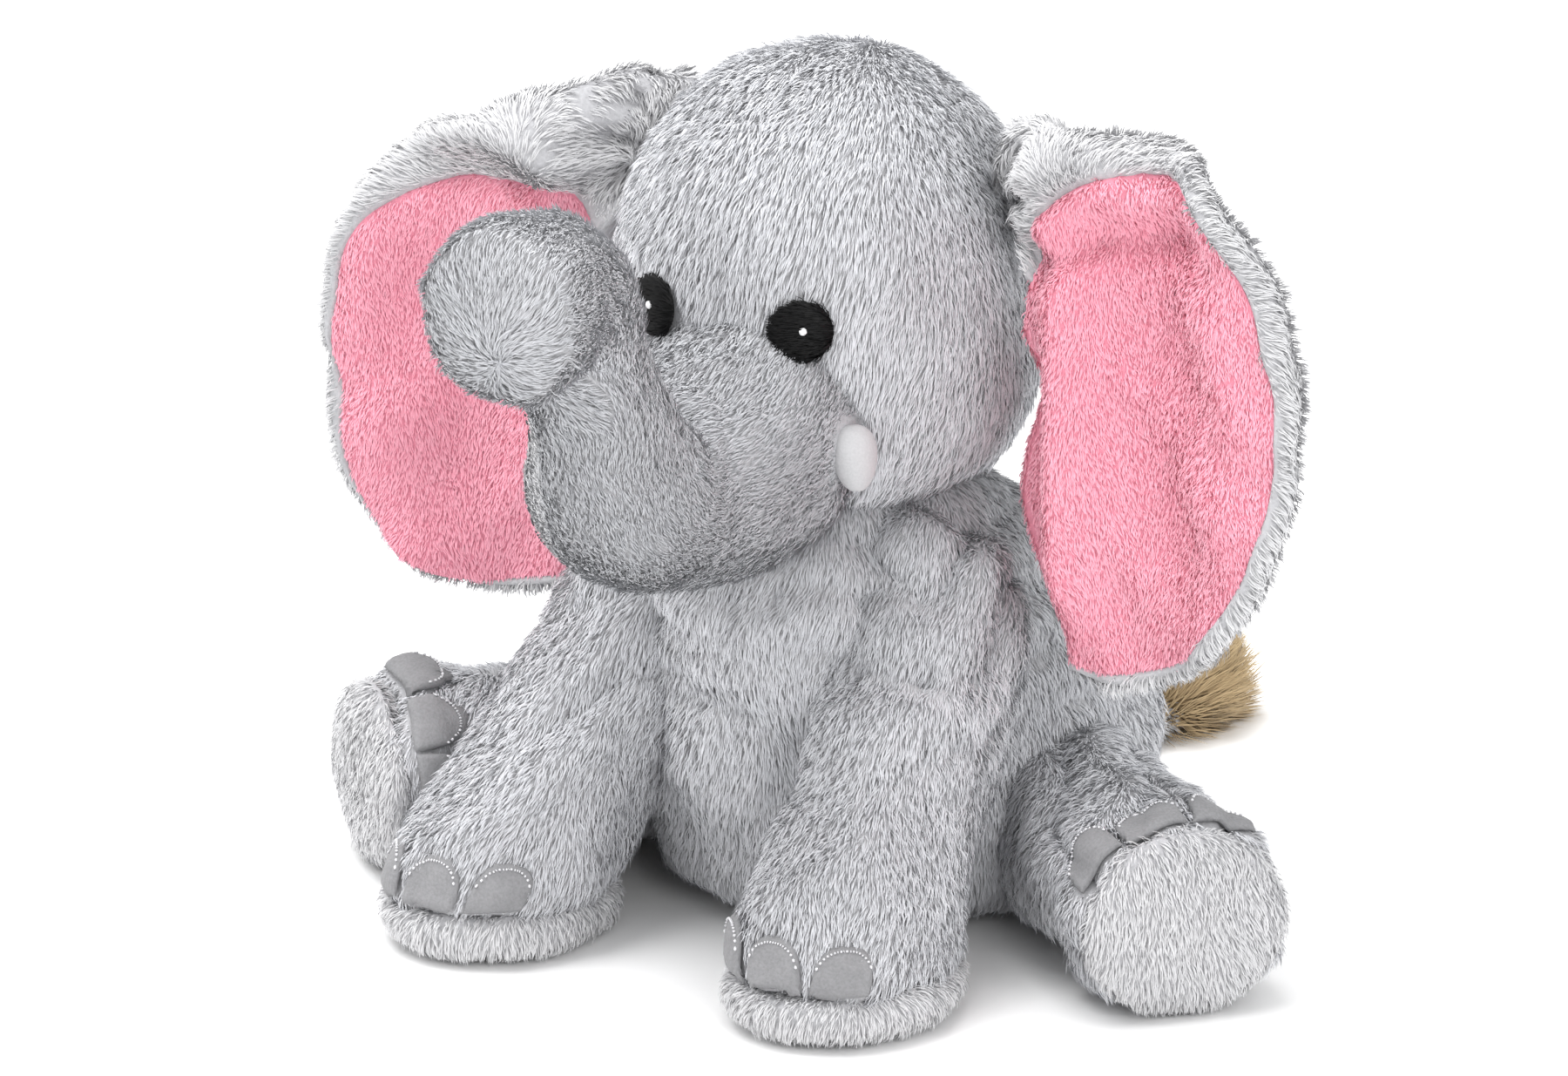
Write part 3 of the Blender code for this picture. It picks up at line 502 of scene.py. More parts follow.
def head_folds(place):
    spot = place - HEAD_CENTRE
    seam = exp(-((spot.x / 0.003) ** 2)) * (-0.001 if spot.z > 0.0 else 0)
    gather = 0.0
    for side in (1, -1):
        root = spot - Vector((0.046 * side, 0.006, 0.038))
        gather += exp(-(root.length / 0.014) ** 2) * (-0.0035 + 0.0015 * sin(spot.z * 700))
    return lumps(spot, 0.03, 0.0022, 2.0) + lumps(spot, 0.012, 0.0008, 6.0) + seam + gather


crumple(head, head_folds)
head.data.transform(head_turn)
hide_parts("head_cover", "head_stuffing")


def head_spot(azimuth, height, out=0.0):
    """A point on the head, azimuth degrees round from the face to its left, and the way out of it there."""
    rise = height - HEAD_CENTRE.z
    half = HEAD_ABOVE if rise > 0 else HEAD_BELOW
    size = HEAD_RADIUS * (1 - (rise / half) ** 2) ** 0.46
    angle = radians(azimuth)
    spot = HEAD_CENTRE + Vector((size * sin(angle), -size * cos(angle), rise))
    way = Vector((sin(angle) / HEAD_RADIUS, -cos(angle) / HEAD_RADIUS, rise / half ** 2)).normalized()
    return head_turn @ (spot + way * out), head_way @ way


# --- Trunk ------------------------------------------------------------------------------------------------
# A stuffed tube from the wide muzzle, round a bend, up and forward to a flat tip. A smoother gusset runs up
# its front between two seams, and the cloth wrinkles inside both bends.

TRUNK_BEND = Vector((0, -0.11, 0.1375))
LOWER_CREASE, UPPER_CREASE = Vector((0, -0.126, 0.163)), Vector((0, -0.176, 0.18))


def bend_rings(crease, start, end, sizes, turned=1, shift=0.0):
    """Rings round a crease, each a half width, a half depth and the middle's distance from the crease."""
    rings = []
    for i, (half_width, half_depth, away) in enumerate(sizes):
        angle = radians(start + (end - start) * i / (len(sizes) - 1))
        out = Vector((0, cos(angle), sin(angle)))
        rings.append(Ring(crease + out * away + X_AXIS * shift, X_AXIS, out * turned, half_width, half_depth))
    return rings


trunk_rings = [
    Ring(TRUNK_BEND + Vector((0, 0.044, 0.014)), X_AXIS, -Z_AXIS, 0.03, 0.03),
    Ring(TRUNK_BEND + Vector((0, 0.03, 0.008)), X_AXIS, -Z_AXIS, 0.034, 0.034),
    Ring(TRUNK_BEND + Vector((0, 0.016, 0.003)), X_AXIS, -Z_AXIS, 0.033, 0.0325),
    Ring(TRUNK_BEND + Vector((0, 0.000, 0.000)), X_AXIS, -Z_AXIS, 0.0288, 0.028),
]
trunk_rings += bend_rings(LOWER_CREASE, -90, -180, [
    (0.0262, 0.0245, 0.027), (0.025, 0.024, 0.0268), (0.023, 0.0225, 0.0256),
    (0.0198, 0.0196, 0.0238), (0.0172, 0.0174, 0.0226)], 1, -0.0042)
trunk_rings += bend_rings(UPPER_CREASE, 0, 90, [
    (0.0164, 0.017, 0.0222), (0.0174, 0.0188, 0.0228), (0.0194, 0.021, 0.0236),
    (0.0214, 0.0222, 0.0238)], -1, -0.0085)
tip_middle = trunk_rings[-1].centre + Vector((0.001, -0.017, -0.0004))
trunk_rings.append(Ring(tip_middle, X_AXIS, -Z_AXIS, 0.0232, 0.024))
trunk_rings.append(Ring(tip_middle - Y_AXIS * 0.003, X_AXIS, -Z_AXIS, 0.0214, 0.0222))
trunk_rings.append(Ring(tip_middle - Y_AXIS * 0.0036, X_AXIS, -Z_AXIS, 0.0136, 0.0142))
trunk_rings.append(Ring(tip_middle - Y_AXIS * 0.0018, X_AXIS, -Z_AXIS, 0.0045, 0.0045))

trunk_middles = np.array([head_turn @ ring.centre for ring in trunk_rings])
fine = np.linspace(0, len(trunk_middles) - 1, 120)
coarse = np.arange(len(trunk_middles))
trunk_line = np.stack([np.interp(fine, coarse, trunk_middles[:, i]) for i in range(3)], axis=1)
trunk_way = np.gradient(trunk_line, axis=0)


def on_trunk(made):
    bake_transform(made)


trunk = sewn_form("trunk_plush", trunk_rings, grey_backing, loose, around=32, levels=2)


def trunk_folds(place):
    inner_bend = exp(-(((place - Vector((0.004, -0.12, 0.172))).length / 0.026) ** 2))
    crease = abs(sin((place.z - place.y) * 430 + place.x * 120))
    folds = inner_bend * (0.0042 * crease ** 0.5 - 0.0026)
    upper = exp(-(((place - Vector((0, -0.178, 0.19))).length / 0.024) ** 2))
    folds += upper * 0.001 * sin((place.z + place.y) * 600)
    return lumps(place, 0.016, 0.0016, 3.0) + folds


crumple(trunk, trunk_folds)
trunk.data.transform(head_turn)
on_trunk(trunk)
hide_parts("muzzle_cover", "muzzle_stuffing", "trunk_cover", "trunk_gusset", "trunk_stuffing",
            "trunk_tip_panel")


# --- Ears -------------------------------------------------------------------------------------------------
# Each ear is grey plush behind and round the rim, with a short-pile pink lining. It is gathered to a short
# root on the head, hangs from there, and folds forward along its inner side.

SIDES = {"left": 1, "right": -1}
EAR_HINGE = Vector((0.051, -0.034, 0.205))
EAR_SWEEP = {"left": 11, "right": 10.5}
EAR_LIFT = {"left": 4, "right": -8}
LINING_GAP = 0.0024  # from the lining back to the plush behind it
EAR_MIDDLE = Vector((0.112, 0.152))
EAR_EDGE = {  # the plush from the root's top round to its bottom, in X and Z
    "left": (
        (0.047, 0.218), (0.079, 0.2235), (0.107, 0.225), (0.131, 0.216), (0.146, 0.1985),
        (0.153, 0.176), (0.154, 0.146), (0.1425, 0.1095), (0.1275, 0.0925), (0.095, 0.0795),
        (0.076, 0.0825), (0.067, 0.0955), (0.0625, 0.108), (0.0585, 0.124), (0.064, 0.146),
        (0.069, 0.162), (0.07, 0.184), (0.048, 0.2035),
    ),
    "right": (
        (0.046, 0.2165), (0.075, 0.219), (0.102, 0.212), (0.124, 0.2035), (0.139, 0.19),
        (0.1475, 0.174), (0.15, 0.15), (0.151, 0.127), (0.143, 0.105), (0.1315, 0.091),
        (0.114, 0.084), (0.095, 0.085), (0.079, 0.087), (0.07, 0.102), (0.069, 0.125),
        (0.07, 0.158), (0.07, 0.178), (0.047, 0.196),
    ),
}
LINING_EDGE = {
    "left": (
        (0.074, 0.201), (0.0865, 0.212), (0.1065, 0.2185), (0.124, 0.2165), (0.1375, 0.202),
        (0.149, 0.174), (0.1512, 0.1425), (0.1402, 0.1115), (0.1225, 0.0925), (0.092, 0.0815),
        (0.0765, 0.0845), (0.0668, 0.0965), (0.0615, 0.108), (0.0575, 0.124), (0.063, 0.146),
        (0.068, 0.162), (0.069, 0.184), (0.07, 0.192),
    ),
    "right": (
        (0.076, 0.193), (0.0905, 0.195), (0.118, 0.1945), (0.133, 0.1895), (0.1415, 0.18),
        (0.145, 0.1675), (0.1468, 0.1385), (0.1465, 0.117), (0.139, 0.099), (0.1255, 0.0885),
        (0.1115, 0.0862), (0.092, 0.088), (0.079, 0.0895), (0.07, 0.103), (0.0685, 0.125),
        (0.069, 0.158), (0.0695, 0.178),
    ),
}


def outline(points):
    """The distance from the ear's middle to its edge, for every degree round it, with soft corners."""
    places = np.array(points) - np.array(EAR_MIDDLE)
    turns = np.degrees(np.arctan2(places[:, 1], places[:, 0]))
    reach = np.interp(np.arange(360), turns, np.linalg.norm(places, axis=1), period=360)
    return sum(np.roll(reach, step) for step in range(-3, 4)) / 7


def edge_at(reach, turn):
    return float(np.interp(degrees(turn), np.arange(360), reach, period=360))


def smooth(low, high, value):
    share = min(max((value - low) / (high - low), 0), 1)
    return share * share * (3 - 2 * share)


def ear_depth(x, z):
    """Where the cloth lies in Y: gathered at its root, folded down its inner side, rolled at its top."""
    depth = EAR_HINGE.y - 0.015 - 0.004 * smooth(0.17, 0.12, z)
    depth += smooth(0.08, 0.054, x) * 0.018 * smooth(0.17, 0.2, z)
    fold = smooth(0.206, 0.186, z) * smooth(0.086, 0.112, z)
    depth -= 0.009 * exp(-(((x - 0.0835) / 0.008) ** 2)) * fold
    depth += 0.011 * smooth(0.0815, 0.0745, x) * smooth(0.172, 0.15, z)
    depth -= 0.0045 * exp(-(((x - 0.137) / 0.012) ** 2))
    depth += 0.005 * exp(-(((x - 0.112) / 0.013) ** 2)) * smooth(0.08, 0.12, z)
    top = 0.2015 + 0.011 * smooth(0.074, 0.1, x) - 0.01 * smooth(0.122, 0.142, x)
    roll = smooth(0.068, 0.08, x) * smooth(0.14, 0.108, x)
    depth -= 0.0054 * roll * exp(-(((z - top) / 0.0055) ** 2))
    depth += 0.005 * roll * exp(-(((z - top + 0.012) / 0.006) ** 2))
    ripple = sin(z * 150 + x * 120 + 2 * noise.noise(Vector((x, z, 0)) * 30))
    depth += 0.0017 * ripple * smooth(0.088, 0.1, x)
    around, away = atan2(z - 0.202, x - 0.046), hypot(x - 0.046, z - 0.202)
    return depth + 0.003 * sin(around * 11) * exp(-(((away - 0.016) / 0.014) ** 2))


def ear_layer(reach, behind):
    """A sheet of the ear inside its outline, as a grid drawn out to that outline."""
    mesh = bmesh.new()
    bmesh.ops.create_grid(mesh, x_segments=72, y_segments=92, size=1)
    for vert in mesh.verts:
        a, b = vert.co.x, vert.co.y
        u, v = a * sqrt(1 - b * b / 2), b * sqrt(1 - a * a / 2)
        turn = atan2(v, u)
        away = edge_at(reach, turn) * min(hypot(u, v), 1)
        x, z = EAR_MIDDLE.x + away * cos(turn), EAR_MIDDLE.y + away * sin(turn)
        vert.co = Vector((x, ear_depth(x, z) + behind, z))
    bmesh.ops.recalc_face_normals(mesh, faces=mesh.faces)
    if sum(face.normal.y for face in mesh.faces) > 0:
        bmesh.ops.reverse_faces(mesh, faces=mesh.faces)
    return mesh


def thicken(made, thickness):
    cloth = made.modifiers.new("cloth", "SOLIDIFY")
    cloth.thickness = thickness
    cloth.offset = -1
    cloth.use_even_offset = False
    return settle(made)


pink_pile = pile_finish("pink_pile", (0.88, 0.31, 0.41), (0.95, 0.4, 0.51), (1.0, 0.56, 0.66), sheen=0.25)
pink_backing = backing_finish("pink_backing", (0.9, 0.34, 0.44))



def on_ear():
    """Bakes a piece's placing into its mesh, and leaves it unattached."""
    return lambda made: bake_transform(made)


ears = {}
for side_name, side in SIDES.items():
    place = Matrix.Translation(Vector((EAR_HINGE.x * side, EAR_HINGE.y, EAR_HINGE.z)))
    sweep = Matrix.Rotation(radians(-side * EAR_SWEEP[side_name]), 4, "Z")
    lift = Matrix.Rotation(radians(-side * EAR_LIFT[side_name]), 4, "Y")
    hang = head_turn @ place @ sweep @ lift @ place.inverted() @ Matrix.Scale(side, 4, X_AXIS)
    cloth_edge, lining_edge = outline(EAR_EDGE[side_name]), outline(LINING_EDGE[side_name])
    back_cloth, lining_cloth = ear_layer(cloth_edge, LINING_GAP), ear_layer(lining_edge, 0.0)
    back = thicken(piece(f"ear_{side_name}_plush", back_cloth, grey_backing, loose), 0.0034)
    lining = thicken(piece(f"ear_{side_name}_lining_plush", lining_cloth, pink_backing, loose), 0.002)
    for vert in back.data.vertices:
        spot = Vector((vert.co.x, vert.co.z)) - EAR_MIDDLE
        turn = atan2(spot.y, spot.x)
        inner, outer = edge_at(lining_edge, turn) - 0.0012, edge_at(cloth_edge, turn)
        band = (spot.length - inner) / max(outer - inner, 0.001)
        if 0 < band < 1:
            roll = sqrt(sin(pi * band)) * min(0.0022 + 0.3 * (outer - inner), 0.009)
            vert.co.y += -roll if vert.normal.y < 0 else roll * 0.35
        vert.co.y += lumps(vert.co, 0.016, 0.0016, 5.0)
    for cloth in (back, lining):
        cloth.data.transform(hang)
        if side < 0:
            cloth.data.flip_normals()
        cloth.data.update()
        on_ear()(cloth)
    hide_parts(f"ear_{side_name}_back")
    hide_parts(f"ear_{side_name}_lining")
    ears[side_name] = (back, lining, hang)


# --- Legs -------------------------------------------------------------------------------------------------
# Stuffed plush tubes, each closed by a paler padded sole. The front feet stand on theirs, the hind ones
# point forward and show theirs.

SHOULDER, HIP = Vector((0.041, -0.046, 0.096)), Vector((0.05, -0.006, 0.0265))
FRONT_FOOT = Vector((0.055, -0.112, 0.0165))
HIND_FOOT = {"left": Vector((0.1265, -0.06, 0.0262)), "right": Vector((-0.112, -0.086, 0.0262))}


def front_leg_rings(side):
    shoulder = Vector((SHOULDER.x * side, SHOULDER.y, SHOULDER.z))
    foot = Vector((FRONT_FOOT.x * side, FRONT_FOOT.y, FRONT_FOOT.z))
    reach = foot - shoulder
    rings = []
    for drop, forward, lean, half_width, half_length in (
            (-0.2, -0.02, 40, 0.0125, 0.013), (-0.13, 0.00, 38, 0.0185, 0.0195),
            (0.02, 0.04, 36, 0.0222, 0.0235), (0.24, 0.16, 34, 0.023, 0.0235),
            (0.5, 0.42, 36, 0.023, 0.0235), (0.72, 0.68, 34, 0.0242, 0.0262),
            (0.88, 0.9, 18, 0.0274, 0.0318), (1.015, 1.00, 1, 0.0284, 0.0334),
            (1.04, 1.005, 0, 0.0255, 0.0305)):
        tilt = radians(lean)
        centre = shoulder + Vector((reach.x * drop, reach.y * forward, reach.z * drop))
        rings.append(Ring(centre, X_AXIS, Vector((0, -cos(tilt), sin(tilt))), half_width, half_length))
    return rings


def hind_leg_rings(side_name):
    side = SIDES[side_name]
    hip, foot = Vector((HIP.x * side, HIP.y, HIP.z)), HIND_FOOT[side_name]
    out = (foot - hip).normalized()
    across = Z_AXIS.cross(Vector((out.x, out.y, 0))).normalized()
    rings = []
    for share, half_width, half_height in (
            (-0.2, 0.015, 0.015), (-0.1, 0.0215, 0.0215), (0.1, 0.0245, 0.0242), (0.35, 0.024, 0.0238),
            (0.65, 0.025, 0.0236), (0.85, 0.0278, 0.0246), (1.00, 0.0282, 0.0248), (1.03, 0.025, 0.022)):
        rings.append(Ring(hip.lerp(foot, share), across, Z_AXIS, half_width, half_height))
    return rings


def sole_rings(seam, leg_end, bulge, rounds):
    out = seam.across.cross(seam.along)
    out = out if out.dot(seam.centre - leg_end) > 0 else -out
    return [
        Ring(seam.centre + out * (0.0004 + bulge * rise), seam.across, seam.along,
             seam.half_width * share, seam.half_length * share)
        for rise, share in rounds
    ]


legs, soles = {}, {}
for side_name, side in SIDES.items():
    for kind in ("front", "hind"):
        body = f"{kind}_leg_{side_name}"
        rings = front_leg_rings(side) if kind == "front" else hind_leg_rings(side_name)
        leg = sewn_form(f"{body}_plush", rings, grey_backing, on(body), around=32, levels=2)
        seed = 10 + side + (5 if kind == "front" else 0)

        def leg_folds(place, seed=seed, kind=kind):
            low = smooth(0.0, 0.012, place.z)
            creases = 0.0
            if kind == "front":
                crease = abs(sin(place.z * 170 - place.y * 60 + 2 * noise.noise(place * 40)))
                creases = (0.008 * crease ** 0.45 - 0.0052) * smooth(0.04, 0.075, place.z)
            else:
                crease = abs(sin(place.x * 130 + place.y * 90 + 2 * noise.noise(place * 45)))
                creases = 0.0055 * crease ** 0.45 - 0.0036
            return (lumps(place, 0.018, 0.003, seed) + lumps(place, 0.008, 0.001, seed + 3) + creases) * low

        crumple(leg, leg_folds)
        rest_on(leg, 0.0012)
        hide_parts(f"{body}_cover", f"{body}_stuffing")
        seam = rings[-2]
        if kind == "front":
            bulge = 0.0138
            rounds = [(0.0, 0.93), (0.2, 1.01), (0.5, 1.03), (0.78, 0.99), (0.95, 0.88), (1.0, 0.68)]
        else:
            bulge = 0.0085
            rounds = [(0.0, 0.94), (0.25, 1.01), (0.55, 0.97), (0.8, 0.84), (0.95, 0.62), (1.0, 0.36)]
        sole = sewn_form(f"{body}_sole_plush", sole_rings(seam, rings[-3].centre, bulge, rounds),
                         pale_backing, on(body), around=32, levels=1)
        crumple(sole, lambda place: lumps(place, 0.012, 0.0012, 8.0) * smooth(0.0, 0.006, place.z))
        rest_on(sole, 0.0008)
        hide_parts(f"{body}_sole")
        legs[body] = (leg, rings)
        soles[body] = sole


# --- Toenails ---------------------------------------------------------------------------------------------
# Three arched patches of short grey pile on each foot, edged with a row of white stitches.

NAIL_WIDTH, NAIL_HEIGHT, NAIL_SPREAD = 0.016, 0.0145, 37
HEM = 0.0014  # from a nail's edge in to its stitches
NAIL_TURN = {"hind_leg_right": -42, "hind_leg_left": 12}

nail_cloth, start, shader = finish("nail_cloth", 0.85, 0.1)
nap, cloud = grain(start, 1400.0, 4.0), grain(start, 160.0, 2.0)
mixed = (nap * 0.6 + cloud * 0.4).mix((0.13, 0.13, 0.135, 1), (0.34, 0.34, 0.35, 1))
show(shader, mixed, raised(nap, 0.6, 0.0004))


def plies(start, scale, direction="DIAGONAL", distortion=0.0):
    """Rows of twisted thread."""
    place = start.node("TexCoord", 3)
    bands = {"wave_type": "BANDS", "bands_direction": direction}
    return place.node("TexWave", 0, bands, Vector=place, Scale=scale, Distortion=distortion)


stitch_thread, start, shader = finish("stitch_thread", 0.6)
ply = plies(start, 900.0)
show(shader, ply.mix((0.55, 0.55, 0.57, 1), (0.85, 0.85, 0.87, 1)), raised(ply, 0.4, 0.0002))


def stitch_row(mesh, points, outs, radius, gap=0.42):
    """Adds a stitch of thread at each step along a line of points."""
    for here, there, out in zip(points, points[1:], outs):
        way = there - here
        if way.length < 1e-6:
            continue
        turn = way.to_track_quat("X", "Z").to_matrix().to_4x4()
        size = Matrix.Diagonal((way.length * (1 - gap) / 2, radius, radius * 0.8, 1))
        centre = Matrix.Translation((here + there) / 2 + out * radius * 0.4)
        bmesh.ops.create_icosphere(mesh, subdivisions=1, radius=1, matrix=centre @ turn @ size)


dark_thread, start, shader = finish("dark_thread", 0.6)
show(shader, plies(start, 900.0).mix((0.04, 0.04, 0.045, 1), (0.12, 0.12, 0.13, 1)))



def nail_height(across):
    """The height of a nail's arch, from -1 to 1 across it."""
    return NAIL_HEIGHT * (0.3 + 0.7 * sqrt(max(1 - abs(across) ** 2.4, 0)))


nail_spots = {}
for body, (leg, rings) in legs.items():
    tree = tree_of(leg)
    seam, above = rings[-2], rings[-3]
    thread = bmesh.new()
    spots = []
    for label, offset in (("inner", -1), ("middle", 0), ("outer", 1)):
        outer = offset * (1 if "left" in body else -1)
        middle_angle = radians(90 + NAIL_TURN.get(body, 0) - NAIL_SPREAD * outer)
        pace = (seam.point(middle_angle + 0.01) - seam.point(middle_angle)).length / 0.01

        def on_foot(across, rise, lift):
            """A point on the foot: across from the nail's middle and up from the sole's seam, in metres."""
            angle = middle_angle + across / pace
            low, high = seam.point(angle), above.point(angle)
            guess = low + (high - low).normalized() * rise
            spot, normal, _, _ = tree.find_nearest(guess + (guess - seam.centre).normalized() * 0.004)
            return spot + normal * lift, normal

        mesh = bmesh.new()
        columns, rows = 16, 10
        bmesh.ops.create_grid(mesh, x_segments=columns, y_segments=rows, size=1)
        for vert in mesh.verts:
            a, b = vert.co.x, (vert.co.y + 1) / 2
            height = nail_height(a)
            edge = min(1 - abs(a), b, 1 - b) * 8
            vert.co, _ = on_foot(a * NAIL_WIDTH / 2, 0.0004 + height * b, 0.0016 + 0.001 * min(edge, 1))
        bmesh.ops.recalc_face_normals(mesh, faces=mesh.faces)
        if sum((f.normal.dot(f.calc_center_median() - above.centre) for f in mesh.faces)) < 0:
            bmesh.ops.reverse_faces(mesh, faces=mesh.faces)
        nail = thicken(piece(f"{body}_nail_{label}", mesh, nail_cloth, on(body)), 0.0012)
        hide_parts(f"{body}_toenail_{label}")
        arch, outs = [], []
        for step in range(19):
            a = -0.92 + 1.84 * step / 18
            spot, normal = on_foot(a * NAIL_WIDTH / 2 * 0.94, nail_height(a) - HEM, 0.0027)
            arch.append(spot)
            outs.append(normal)
        stitch_row(thread, arch, outs, 0.00044)
        spots.append([on_foot(a * NAIL_WIDTH / 2 * 0.8, NAIL_HEIGHT * b, 0)[0] for a, b in (
            (-0.7, 0.25), (0, 0.25), (0.7, 0.25), (-0.55, 0.55), (0, 0.55), (0.55, 0.55), (0, 0.8))])
    nail_spots[body] = np.array([tuple(p) for group in spots for p in group])
    stitches = piece(f"{body}_nail_stitches", thread, stitch_thread, on(body))


# --- Eyes -------------------------------------------------------------------------------------------------
# Round black satin-stitch embroidery with a small white stitch, sewn through the face.

EYE_AZIMUTH, EYE_HEIGHT, EYE_RADIUS = 23, 0.1755, 0.0078

thread_black = pile_finish(
    "black_thread_satin", (0.002, 0.002, 0.002), (0.003, 0.003, 0.003), (0.012, 0.012, 0.013), 0.5, 0.0)
thread_base, start, shader = finish("black_thread_base", 0.5)
rows = plies(start, 420.0, "Z", 1.0)
show(shader, rows.mix((0.004, 0.004, 0.004, 1), (0.012, 0.012, 0.012, 1)), raised(rows, 0.5, 0.0004))
glint_thread, start, shader = finish("white_thread", 0.5)
rows = plies(start, 900.0, "Z")
show(shader, rows.mix((0.75, 0.75, 0.77, 1), (0.95, 0.95, 0.95, 1)), raised(rows, 0.4, 0.0002))


def domed_disc(middle, out, radius, height, segments=32):
    """A low dome of stitches standing on the cloth."""
    mesh = bmesh.new()
    bmesh.ops.create_uvsphere(mesh, u_segments=segments, v_segments=16, radius=1)
    turn = out.to_track_quat("Z", "Y").to_matrix().to_4x4()
    size = Matrix.Diagonal((radius, radius, height, 1))
    bmesh.ops.transform(mesh, matrix=Matrix.Translation(middle) @ turn @ size, verts=mesh.verts)
    return mesh


eye_middles = []
for side_name, side in SIDES.items():
    middle, out = head_spot(EYE_AZIMUTH * side, EYE_HEIGHT, 0.0014)
    eye_middles.append(np.array(middle))
    dome = domed_disc(middle, out, EYE_RADIUS, 0.0016)
    eye = piece(f"eye_{side_name}_stitched", dome, thread_base, on("head"))
    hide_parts(f"eye_{side_name}")
    grow_pile(f"eye_{side_name}_threads", on("head"), eye, thread_black, 900, 0.0034,
              along_way(*out.cross(Z_AXIS)), width=0.0004, lean=84, sway=0.1, tuft=0.0012, seed=31,
              trim=lambda root, normal, out=np.array(out): np.where(normal @ out > 0.05, 1.0, 0.0))
    spot, out = head_spot(EYE_AZIMUTH * side, EYE_HEIGHT + 0.0004, 0.0037)
    dot = domed_disc(spot, out, 0.0011, 0.0008, 16)
    glint = piece(f"eye_{side_name}_glint", dot, glint_thread, on("head"))
    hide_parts(f"eye_highlight_{side_name}")


# --- Tusks ------------------------------------------------------------------------------------------------
# Two short stuffed teardrops of smooth white plush, sewn in where the muzzle meets the cheeks.

tusk_cloth, start, shader = finish("tusk_cloth", 0.7, 0.2)
nap = grain(start, 1800.0, 3.0)
show(shader, nap.mix((0.39, 0.39, 0.4, 1), (0.51, 0.51, 0.52, 1)), raised(nap, 0.35, 0.0002))

TUSK_LENGTH = 0.0146
tusk_middles = []
for side_name, side in SIDES.items():
    root, out = head_spot(35.5 * side, 0.15, 0.0072)
    droop = (out * 0.34 + head_way @ Vector((0.1 * side, 0, -1))).normalized()
    across = droop.cross(out).normalized()
    along = across.cross(droop)
    rings = [
        Ring(root + droop * TUSK_LENGTH * share, across, along, 0.006 * size, 0.0057 * size)
        for share, size in ((-0.2, 0.3), (-0.14, 0.62), (0.0, 0.92), (0.22, 1.04), (0.46, 1.00),
                            (0.7, 0.84), (0.88, 0.6), (0.98, 0.32), (1.0, 0.15))
    ]
    tusk = sewn_form(f"tusk_{side_name}_plush", rings, tusk_cloth, on("head"), around=24, levels=2)
    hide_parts(f"tusk_{side_name}")
    tusk_middles += [np.array(root + droop * TUSK_LENGTH * share) for share in (0.0, 0.25, 0.5, 0.75)]


# --- Tail -------------------------------------------------------------------------------------------------
# A thin plush sleeve on the floor behind the seat, ending in a tuft of long tan pile.

tan_pile = pile_finish("tan_pile", (0.22, 0.14, 0.07), (0.42, 0.3, 0.16), (0.7, 0.55, 0.33))
tan_backing = backing_finish("tan_backing", (0.45, 0.33, 0.18))
low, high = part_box("tail_sleeve")
tail_rings = [
    Ring((0, y, 0.0068), X_AXIS, Z_AXIS, 0.0056 * size, 0.0056 * size)
    for y, size in ((low[1], 0.6), (low[1] + 0.004, 0.95), ((low[1] + high[1]) / 2, 0.95), (high[1], 0.9),
                    (high[1] + 0.003, 0.6))
]
tail = sewn_form("tail_plush", tail_rings, grey_backing, on("tail"), around=16, levels=1)
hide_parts("tail_sleeve")
low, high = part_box("tail_tuft")
tuft_rings = [
    Ring((0, low[1] + (high[1] - low[1]) * share, 0.0095 * size + 0.003), X_AXIS, Z_AXIS,
         0.0085 * size, 0.009 * size)
    for share, size in ((-0.02, 0.6), (0.1, 0.95), (0.35, 1.1), (0.6, 0.8), (0.75, 0.4))
]
tuft = sewn_form("tail_tuft_core", tuft_rings, tan_backing, on("tail"), around=16, levels=1)
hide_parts("tail_tuft")


# --- Pile -------------------------------------------------------------------------------------------------
# The long pile lies down and forward over the head, outward to the trunk's tip, down the body, and along
# each leg to its foot. It is clipped round the eyes, the tusks and the nails.


def clear_of(spots, radius, fade):
    """Bare within a radius of some points, and shorter for a little way round them."""
    spots = np.array(spots)

    def trim(root, normal):
        near = np.min(np.linalg.norm(root[:, None, :] - spots[None, :, :], axis=2), axis=1)
        return np.clip((near - radius) / fade, 0, 1)

    return trim


def both(first, second):
    return lambda root, normal: first(root, normal) * second(root, normal)


eye_clear = clear_of(eye_middles, EYE_RADIUS - 0.001, 0.004)
tusk_clear = clear_of(tusk_middles, 0.005, 0.003)
face_clear = both(eye_clear, tusk_clear)

# Painted shade: the torso's pile is darker above z 0.08, towards the shoulders under the head.
for made in grow_pile("torso_pile", on("torso"), torso, grey_pile, 208, 0.0046, along_way(0, -0.12, -1),
                      hidden_by=[(legs[body][0], -0.002) for body in legs] + [(head, -0.004)],
                      trim=lambda root, normal: np.where(root[:, 2] < 0.0022, 0.25, 1.0),
                      tone=lambda root: 0.78 - 15.0 * np.maximum(root[:, 2] - 0.08, 0),
                      lean=74, width=0.00035, tuft=0.0021, sway=0.24, seed=41):
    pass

trunk_skin = tree_of(trunk)


def sewn_to_muzzle(root, normal):
    """Shorter pile along the muzzle's seam, so that it shows."""
    gap = np.array([standing(trunk_skin, place) for place in root])
    return np.clip(0.15 + gap / 0.005, 0.15, 1)
